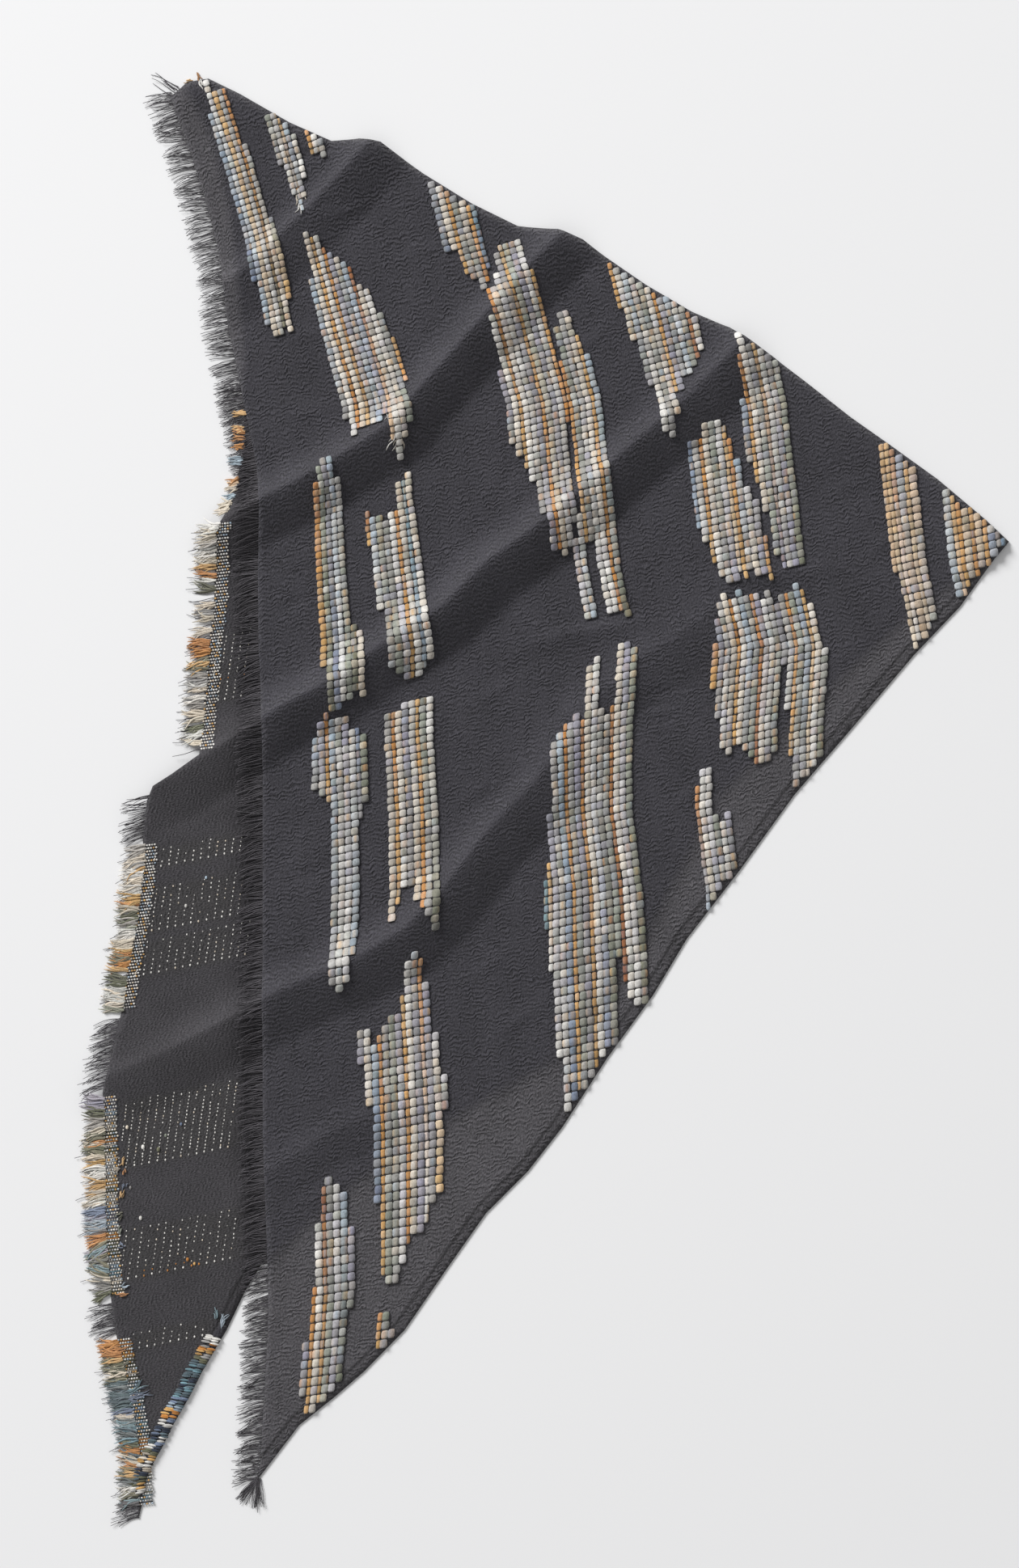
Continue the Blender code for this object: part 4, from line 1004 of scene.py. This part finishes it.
def stripe_cells(name, stagger, rng):
    """Columns of one stripe with the ends of their beads along the rows."""
    top, end = next(r[1:] for r in STRIPES if r[0] == name)
    marks = [0.0]
    while marks[-1] < 200:
        marks.append(marks[-1] + np.interp(marks[-1], *zip(*ROW_PITCH)))
    marks, cells = np.array(marks), {}
    for c in range(math.floor(top[0][0] + 0.4), math.ceil(top[-1][0] - 0.4)):
        first = np.interp(c + 0.5, *zip(*top)) + stagger * rng.uniform(-0.9, 0.6)
        last = np.interp(c + 0.5, *zip(*end)) + stagger * rng.uniform(-0.6, 0.9)
        shown = marks[(marks > first - 0.5) & (marks < last + 0.5)]
        if len(shown) > 1:
            cells[c] = list(itertools.pairwise(shown))
    return cells


def yarn_tint(word, share, rng):
    """Colour of one bead: the column's yarn with a little of a neutral one spun in."""
    first, last = yarn_colour(word[0].lower()), yarn_colour(word[-1].lower())
    spun = yarn_colour(NEUTRAL_YARNS[rng.integers(len(NEUTRAL_YARNS))])
    mix = rng.uniform(0.05, 0.28) if word[0].lower() in THIN_YARNS else rng.uniform(0.05, 0.55)
    return ((first * (1 - share) + last * share) * (1 - mix) + spun * mix) * rng.uniform(0.76, 1.06)


def stripe_beads(name, stagger, rng):
    """Beads of a stripe as rows of centre column, row, half width and half length, and their colours."""
    cells = stripe_cells(name, stagger, rng)
    columns = sorted(cells)
    words = list(itertools.islice(itertools.cycle(ACROSS[name].split()), len(columns)))
    width = np.array([THIN_WIDTH if word[0] in THIN_YARNS else FULL_WIDTH for word in words])
    width *= len(columns) / width.sum()
    start = columns[0] + np.concatenate([[0.0], np.cumsum(width)[:-1]])
    beads, tint = [], []
    for c, word, left, wide in zip(columns, words, start, width):
        drift = np.cumsum(rng.normal(0, 0.015, len(cells[c])))
        for k, (near, far) in enumerate(cells[c]):
            share = k / max(1, len(cells[c]) - 1)
            beads.append((left + wide / 2, (near + far) / 2, wide / 2, (far - near) / 2))
            tint.append(yarn_tint(word, share, rng) * (1 + drift[k]))
    return np.array(beads), np.array(tint)


def laid_beads(beads, tint, soft, bead_height, rng):
    """Places and colours of a stripe's beads on the cloth, and the beads that lie on it whole."""
    centre, row, half, length = beads.T[..., None]
    wide = half * rng.uniform(1.04, 1.24, half.shape)
    x, y = on_cloth(centre + soft[:, 0] * wide + rng.normal(0, 0.06, half.shape),
                    row + soft[:, 1] * length * rng.uniform(0.94, 1.06, half.shape))
    keep = inside(x, y, shifted(UPPER_RING, 0.4)).all(axis=1)
    streak = np.clip(np.sin(soft[:, 0] * 2.4 + rng.uniform(0, WAVE, half.shape)), 0, 1)
    streak = (streak * np.clip(rng.uniform(-0.4, 0.65, half.shape), 0, 1))[..., None]
    streaks = np.array([yarn_colour(letter) for letter in STREAK_YARNS])
    spun = streaks[rng.integers(len(streaks), size=len(half)), None]
    tint = (tint[:, None] * (1 - streak) + spun * streak)[keep]
    size = bead_height * np.clip(half[keep] * 2, 0.75, 1.0) * rng.uniform(0.85, 1.12, (keep.sum(), 1))
    places = raised(x[keep], y[keep], upper_height, 0.05 + size * (0.5 + 0.5 * soft[:, 2]))
    return places, np.clip(tint, 0.01, 0.95), beads[keep]


def tie_paths(beads, lift):
    """Short paths of the dark threads across the lower ends of beads."""
    centre, row, half, length = beads.T[..., None]
    line = np.concatenate([centre - half * 1.05, centre, centre + half * 1.05], 1)
    x, y = on_cloth(line, row + length + 0 * line)
    covered = inside(x, y, UPPER_RING).all(axis=1)
    return raised(x[covered], y[covered], upper_height, lift)


class SCARF_OT_stripes(bpy.types.Operator):
    """Make the yarn stripes: rows of soft beads, and the dark threads that tie each row down"""
    bl_idname = "scarf.stripes"
    bl_label = "Yarn stripes"

    def execute(self, context):
        s = context.scene.scarf_yarn
        ball, faces = bead_pattern(7, 5)
        soft = np.sign(ball) * np.abs(ball) ** BEAD_SHAPE
        ties = []
        for number, name in enumerate(r[0] for r in STRIPES):
            rng = np.random.default_rng(100 + number)
            beads, tint = stripe_beads(name, s.stagger, rng)
            places, tint, beads = laid_beads(beads, tint, soft, s.bead_height, rng)
            obj = joined("yarn_" + name, [(faces, places, tint)], yarn())
            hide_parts(name)
            ties.append(tie_paths(beads, s.bead_height * 0.7))
        faces, places = threads(np.concatenate(ties), s.tie_width / 2)
        grey = np.tile(linear(TIE_GREY), (len(places), 1))
        joined("tie_threads", [(faces, places, grey)], dark_thread())
        return {"FINISHED"}


def tufts(number, rng, size, shared, own):
    """Angles for a row of strands: one for each few neighbours, and a little for each of its own."""
    together = np.repeat(rng.normal(0, shared, number // size + 1), size)[:number]
    return np.radians(together + rng.normal(0, own, number))


def hairs(base, heading, share, rng, under, drop=0.0):
    """Faces, places and colours of thin hairs: share is the length of the shortest beside a full one."""
    full = bpy.context.scene.scarf_yarn.fringe_reach
    base = base + rng.normal(0, 0.25, base.shape) + (0.8, 0.0)
    n = len(base)
    reach = full * (share + (1.04 - share) * rng.beta(1.6, 1.0, n))
    way = math.radians(heading) + tufts(n, rng, 9, 2.5, 4.5)
    turn = tufts(n, rng, 9, 6, 7) + 0.2
    root_height = under(base[:, 0] + 1.5, base[:, 1]) + 0.5
    path = strands(base, way, turn, reach, rng, 7, HAIR_POINTS, under, root_height, 0.25)
    loose = rng.uniform(0, 1.6, (n, 1)) * np.linspace(0, 1, HAIR_POINTS)
    path[..., 2] = np.maximum(path[..., 2] - drop, 0.25) + loose
    faces, places = threads(path, np.linspace(HAIR_ROOT, HAIR_TIP, HAIR_POINTS))
    return faces, places, np.array(linear(HAIR_GREY)) * rng.uniform(0.45, 1.25, (n, 1))


def bunch(x, y, spread, number, rng):
    """Roots of a bunch of strands round a spot."""
    return np.array([(x, y)]) + rng.normal(0, spread, (number, 2))


class SCARF_OT_dark_fringe(bpy.types.Operator):
    """Make the thin dark fringe of the upper layer and between the yarn ends"""
    bl_idname = "scarf.dark_fringe"
    bl_label = "Dark fringe"

    def execute(self, context):
        rng = np.random.default_rng(7)
        roots = np.concatenate([roots_on(LEFT_EDGE, 446, FRINGE_TURN_Y, 0.74),
                                roots_on(LEFT_EDGE, FRINGE_TURN_Y, -429, 0.56)])
        tip = bunch(-180.0, -429.0, 0.9, 44, rng)
        top = bunch(-231.0, 446.0, 1.3, 8, rng)
        runs = ((roots, 188, 0.6), (roots_on(LEFT_EDGE, 262, 188, 0.6), 192, 0.2), (tip[::2], 218, 0.7),
                (tip[1::2], 260, 0.75), (top, 140, 0.4))
        parts = [hairs(base, heading, share, rng, floor_under_upper) for base, heading, share in runs]
        obj = joined("fringe_thin_upper", parts, dark_thread())
        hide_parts("fringe_upper")

        runs = [(start, end, 0.6, 192, 0.45) for start, end in DARK_RUNS]
        runs += [(start, end, pitch, 188, 0.4) for start, end, _fill, pitch, _yarns in YARN_RUNS]
        parts = [hairs(roots_on(LOWER_EDGE, start, end, pitch), heading, share, rng, lower_height, WALL)
                 for start, end, pitch, heading, share in runs]
        obj = joined("fringe_thin_lower", parts, dark_thread())
        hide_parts("fringe_first_dark", "fringe_second_dark", "fringe_third_dark")
        return {"FINISHED"}


def floor_under_upper(x, y):
    """What the upper fringe lies on: the lower layer, or the floor."""
    return np.where(inside(x, y, LOWER_RING), lower_height(x, y), 0.0)


def yarn_end(root, letter, bend, full, yarns, rng):
    """Faces, places and colours of one thick yarn end, as a bundle of strands from its root."""
    colour = yarn_colour(letter if rng.random() < 0.75 else yarns[rng.integers(len(yarns))])
    n = int(rng.integers(7, 11))
    base = root + np.stack([rng.uniform(0.2, 1.6, n), rng.uniform(-1.5, 1.5, n)], 1)
    reach = full * rng.uniform(0.62, 1.12, n)
    heading = math.radians(YARN_HEADING) + bend + tufts(n, rng, 1, 6, 0)
    turn = tufts(n, rng, n, 14, 14)
    root_height = lower_height(base[:, 0], base[:, 1]) - 0.2
    path = strands(base, heading, turn, reach, rng, 12, len(END_RADII), lower_height, root_height, 0.3)
    path[..., 2] = np.maximum(path[..., 2] - WALL + rng.uniform(0, 1.3, (n, 1)), 0.45)
    spun = yarn_colour(CARRIED_YARNS[rng.integers(len(CARRIED_YARNS))])
    tint = (colour * 0.8 + spun * 0.2) * rng.uniform(0.75, 1.15, (n, 1))
    return *threads(path, END_RADII, 5), np.clip(tint, 0, 0.95)


def yarn_end_parts(full, rng):
    """Batches of the thick yarn ends, in the yarns of their runs."""
    runs = [(start, end, fill, full, yarns) for start, end, fill, _pitch, yarns in YARN_RUNS]
    start, end, fill, yarns = PEEKING_RUN
    runs.append((start, end, fill, full * PEEKING_REACH, yarns))
    parts = []
    for start, end, fill, reach, yarns in runs:
        roots = roots_on(LOWER_EDGE, start, end, YARN_ROOT_PITCH)
        bends = tufts(len(roots), rng, 3, 9, 4)
        for root, letter, bend in zip(roots, planned(yarns, len(roots)), bends):
            if rng.random() <= fill:
                parts.append(yarn_end(root, letter, bend, reach, yarns, rng))
    return parts


def edge_band_parts(rng):
    """Batches of the band that the yarn ends come out of: yarn between rows of dots, and the dots."""
    dot, dot_faces = bead_pattern(6, 4)
    dots, dot_tints, rows, row_tints = [], [], [], []
    for run, (start, end, _fill, _pitch, yarns) in enumerate(YARN_RUNS):
        laced = run > 1
        edge = roots_on(LOWER_EDGE, start, end, BAND_ROW_PITCH[run])
        for k, (root, letter) in enumerate(zip(edge, planned(yarns, len(edge)))):
            reach = rng.uniform(8.2, 9.4)
            if laced and k % 2:
                x = root[0] + np.linspace(0.3, reach, 5)
                y = root[1] + BAND_SLOPE * (x - root[0]) + rng.normal(0, 0.08, 5)
                rows.append(raised(x, y, lower_height, 0.15))
                row_tints.append(yarn_colour(letter) * rng.uniform(0.3, 0.75))
                continue
            offset = 0.5 * ((k // (2 if laced else 1)) % 2)
            for i in range(BAND_DOTS):
                x = root[0] + 0.8 + (i + offset) * BAND_DOT_PITCH
                if x - root[0] < reach:
                    dots.append((x, root[1] + BAND_SLOPE * (x - root[0]), rng.uniform(0.66, 0.82)))
                    light = yarn_colour(BAND_LIGHTS[rng.integers(len(BAND_LIGHTS))])
                    dot_tints.append(light * rng.uniform(0.75, 1.1))
    at = np.array(dots)
    x, y = (at[:, i, None] + dot[:, i] * at[:, 2, None] * (1.05, 0.8)[i] for i in (0, 1))
    places = raised(x, y, lower_height, 0.35 + dot[:, 2] * 0.4)
    laid = (*threads(np.array(rows), 0.36, 5), np.array(row_tints))
    return [laid, (dot_faces, places, np.array(dot_tints))]


class SCARF_OT_yarn_ends(bpy.types.Operator):
    """Make the thick yarn ends of the lower left edge, and the dotted band they come out of"""
    bl_idname = "scarf.yarn_ends"
    bl_label = "Yarn ends"

    def execute(self, context):
        rng = np.random.default_rng(11)
        obj = joined("fringe_yarn_ends", yarn_end_parts(context.scene.scarf_yarn.yarn_reach, rng), yarn())
        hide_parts("fringe_first", "fringe_second", "fringe_third", "fringe_fourth")
        joined("yarn_edge_band", edge_band_parts(rng), yarn())
        return {"FINISHED"}


def band_spots(rng):
    """Dots of the dotted bands on the reverse: x, y, size, yarn."""
    spots = []
    for number, (left, right, top, rows, pitch) in enumerate(DOT_BANDS):
        for i in range(int((right - left) / DOT_COLUMN) + 1):
            for k in range(rows):
                last = k == rows - 1
                if not last and rng.random() < 0.14 + 0.25 * (k < 2):
                    continue
                x = left + i * DOT_COLUMN - DOT_TILT * k * pitch + rng.normal(0, 0.15)
                y = top - k * pitch + DOT_RISE * (x - (left + right) / 2) + rng.normal(0, 0.15)
                warm = (number == 0 and k == 11) or (number == 5 and k > 8 and rng.random() < 0.35)
                letter = "o" if warm else DOT_LIGHTS[rng.integers(len(DOT_LIGHTS))]
                spots.append((x, y, 0.62 if last else rng.uniform(0.38, 0.55), letter))
    return spots


def loose_bit(x, y, letter, number, heading, reach, rng):
    """Faces, places and colours of one loose bit of yarn."""
    base = bunch(x, y, 0.7, number, rng)
    way = math.radians(heading) + tufts(number, rng, number, 0, 10)
    turn = tufts(number, rng, number, 12, 16)
    reach = reach * rng.uniform(0.5, 0.95, number)
    root_height = raised_cloth(base[:, 0], base[:, 1]) + 0.3
    path = strands(base, way, turn, reach, rng, 20, len(BIT_RADII), raised_cloth, root_height, 0.35)
    muted = 0.75 * yarn_colour(letter) + 0.25 * yarn_colour("g")
    return *threads(path, BIT_RADII, 5), muted * rng.uniform(0.55, 1.1, (number, 1))


class SCARF_OT_reverse_dots(bpy.types.Operator):
    """Make the small yarn dots, lint nubs and loose bits of yarn on the reverse"""
    bl_idname = "scarf.reverse_dots"
    bl_label = "Dots on the reverse"

    def execute(self, context):
        rng = np.random.default_rng(23)
        dot, faces = bead_pattern(6, 4)
        spots = band_spots(rng) + list(NUBS)
        at = np.array([p[:3] for p in spots])
        tint = np.array([yarn_colour(p[3]) for p in spots]) * rng.uniform(0.75, 1.15, (len(spots), 1))
        shown = inside(at[:, 0], at[:, 1], LOWER_RING)
        at, tint = at[shown], tint[shown]
        x, y, size = at.T[..., None]
        places = raised(x + dot[:, 0] * size, y + dot[:, 1] * size * 1.25, lower_height,
                        size * (0.25 + 0.6 * dot[:, 2]))
        joined("yarn_dots_reverse", [(faces, places, tint)], yarn())
        bits = [loose_bit(*bit, rng) for bit in YARN_BITS]
        joined("yarn_bits", bits, yarn())
        return {"FINISHED"}


def raised_cloth(x, y):
    """Top of whichever layer lies uppermost at a spot, or the floor."""
    return np.where(inside(x, y, UPPER_RING), upper_height(x, y), floor_under_upper(x, y))


class SCARF_OT_lower_hem(bpy.types.Operator):
    """Lay the turned hem on the lower tail"""
    bl_idname = "scarf.lower_hem"
    bl_label = "Lower hem"

    def execute(self, context):
        s = context.scene.scarf_cloth
        look = gauze_material("gauze_hem", s.colour, s.colour, s.ripples)
        edge = along(stretch(LOWER_HEM[::-1], HEM_TOP, HEM_END), 2.5)
        bm = bmesh.new()
        bmesh.ops.create_grid(bm, x_segments=len(edge) - 1, y_segments=4, size=0.5)
        for v in bm.verts:
            run, across = v.co.x + 0.5, v.co.y + 0.5
            line = shifted(edge, HEM_INSET + HEM_ACROSS * across)
            v.co = [np.interp(run, np.linspace(0, 1, len(line)), line[:, i]) * MM for i in (0, 1)] + [0.0]
        obj = lay_sheet(bm, "hem_on_tail", hem_height, reverse_weave, look, 0.6, lower_marks)
        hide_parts("hem_lower")
        return {"FINISHED"}


def hem_height(x, y):
    """Top of the turned hem: rounded across its width."""
    across = np.clip((np.abs(nearest(x, y, LOWER_HEM)[0]) - HEM_INSET) / HEM_ACROSS, 0, 1)
    return WALL + 0.35 + 0.75 * np.sqrt(np.clip(1 - (2 * across - 1) ** 2, 0, 1))


class SCARF_OT_hem_floats(bpy.types.Operator):
    """Lay the short thick yarn floats over the hem of the lower tail"""
    bl_idname = "scarf.hem_floats"
    bl_label = "Floats on the hem"

    def execute(self, context):
        rng = np.random.default_rng(31)
        edge = spaced(along(stretch(LOWER_HEM[::-1], FLOATS_TOP, FLOATS_END), 3.0), FLOAT_PITCH)
        parts = []
        for lane, yarns in zip(FLOAT_LANES, HEM_FLOATS):
            centre = shifted(edge, lane)
            across = shifted(edge, lane + 1) - centre
            reach = rng.uniform(2.1, 2.9, len(edge))[:, None, None]
            reach = reach * np.linspace(-1, 1, len(FLOAT_RADII))[:, None]
            lean = across[:, ::-1] * (-FLOAT_LEAN, FLOAT_LEAN)
            line = centre[:, None] + (across + lean)[:, None] * reach + rng.normal(0, 0.4, (len(edge), 1, 2))
            paths = raised(line[..., 0], line[..., 1], hem_height, 0.4)
            tint = np.array([yarn_colour(letter) for letter in planned(yarns, len(edge))])
            parts.append((*threads(paths, FLOAT_RADII, 6), tint * rng.uniform(0.5, 1.05, (len(edge), 1))))
        joined("yarn_hem_floats", parts, yarn())
        return {"FINISHED"}


class SCARF_OT_stage(bpy.types.Operator):
    """Make the floor, the light and the camera"""
    bl_idname = "scarf.stage"
    bl_label = "Stage"

    def execute(self, context):
        s = context.scene.scarf_stage
        scene = context.scene
        bm = bmesh.new()
        bmesh.ops.create_grid(bm, x_segments=1, y_segments=1, size=4.0)
        mesh = bpy.data.meshes.new("floor")
        bm.to_mesh(mesh)
        bm.free()
        mesh.materials.append(new_look("floor", Base_Color=(*linear(s.floor_colour), 1), Roughness=0.95)[0])
        floor = bpy.data.objects.new("floor", mesh)
        scene.collection.objects.link(floor)

        scene.world = bpy.data.worlds.new("studio")
        scene.world.use_nodes = True
        light = scene.world.node_tree.nodes["Background"].inputs
        light["Color"].default_value, light["Strength"].default_value = (1, 1, 1, 1), s.fill_power
        lamp = bpy.data.lights.new("key", "AREA")
        lamp.shape, lamp.size, lamp.energy = "DISK", 4.0, s.key_power
        key = bpy.data.objects.new("key", lamp)
        key.location = Vector((-0.6, 0.6, 0.51)).normalized() * 9.4
        key.rotation_euler = (-key.location).to_track_quat("-Z", "Y").to_euler()
        scene.collection.objects.link(key)

        scene.view_settings.view_transform = "Standard"
        film, height = 36.0, 2.4
        lens = bpy.data.cameras.new("camera")
        lens.sensor_fit, lens.sensor_height = "VERTICAL", film
        lens.lens = film * height / (PHOTO_HIGH * PIXEL * MM)
        eye = bpy.data.objects.new("camera", lens)
        eye.location = ((PHOTO_WIDE / 2 - ORIGIN_PIXEL[0]) * PIXEL * MM,
                        (ORIGIN_PIXEL[1] - PHOTO_HIGH / 2) * PIXEL * MM, height)
        scene.collection.objects.link(eye)
        scene.camera = eye
        return {"FINISHED"}


class SCARF_PT_panel(bpy.types.Panel):
    """Settings and steps of the scarf"""
    bl_label = "Triangle scarf"
    bl_idname = "SCARF_PT_panel"
    bl_space_type = "VIEW_3D"
    bl_region_type = "UI"
    bl_category = "Scarf"

    def draw(self, context):
        for settings in (context.scene.scarf_cloth, context.scene.scarf_yarn, context.scene.scarf_stage):
            for key in type(settings).__annotations__:
                self.layout.prop(settings, key)
        for step in STEPS:
            self.layout.operator(step.bl_idname)


STEPS = (SCARF_OT_upper_gauze, SCARF_OT_lower_gauze, SCARF_OT_stripes, SCARF_OT_dark_fringe,
         SCARF_OT_yarn_ends, SCARF_OT_reverse_dots, SCARF_OT_lower_hem, SCARF_OT_hem_floats, SCARF_OT_stage)
CLASSES = (ClothSettings, YarnSettings, StageSettings, *STEPS, SCARF_PT_panel)


def register():
    for c in CLASSES:
        bpy.utils.register_class(c)
    bpy.types.Scene.scarf_cloth = bpy.props.PointerProperty(type=ClothSettings)
    bpy.types.Scene.scarf_yarn = bpy.props.PointerProperty(type=YarnSettings)
    bpy.types.Scene.scarf_stage = bpy.props.PointerProperty(type=StageSettings)


def unregister():
    del bpy.types.Scene.scarf_cloth, bpy.types.Scene.scarf_yarn, bpy.types.Scene.scarf_stage
    for c in reversed(CLASSES):
        bpy.utils.unregister_class(c)


def main():
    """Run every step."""
    register()
    for step in STEPS:
        group, name = step.bl_idname.split(".")
        getattr(getattr(bpy.ops, group), name)()
    bpy.context.view_layer.update()


if __name__ == "__main__":
    main()
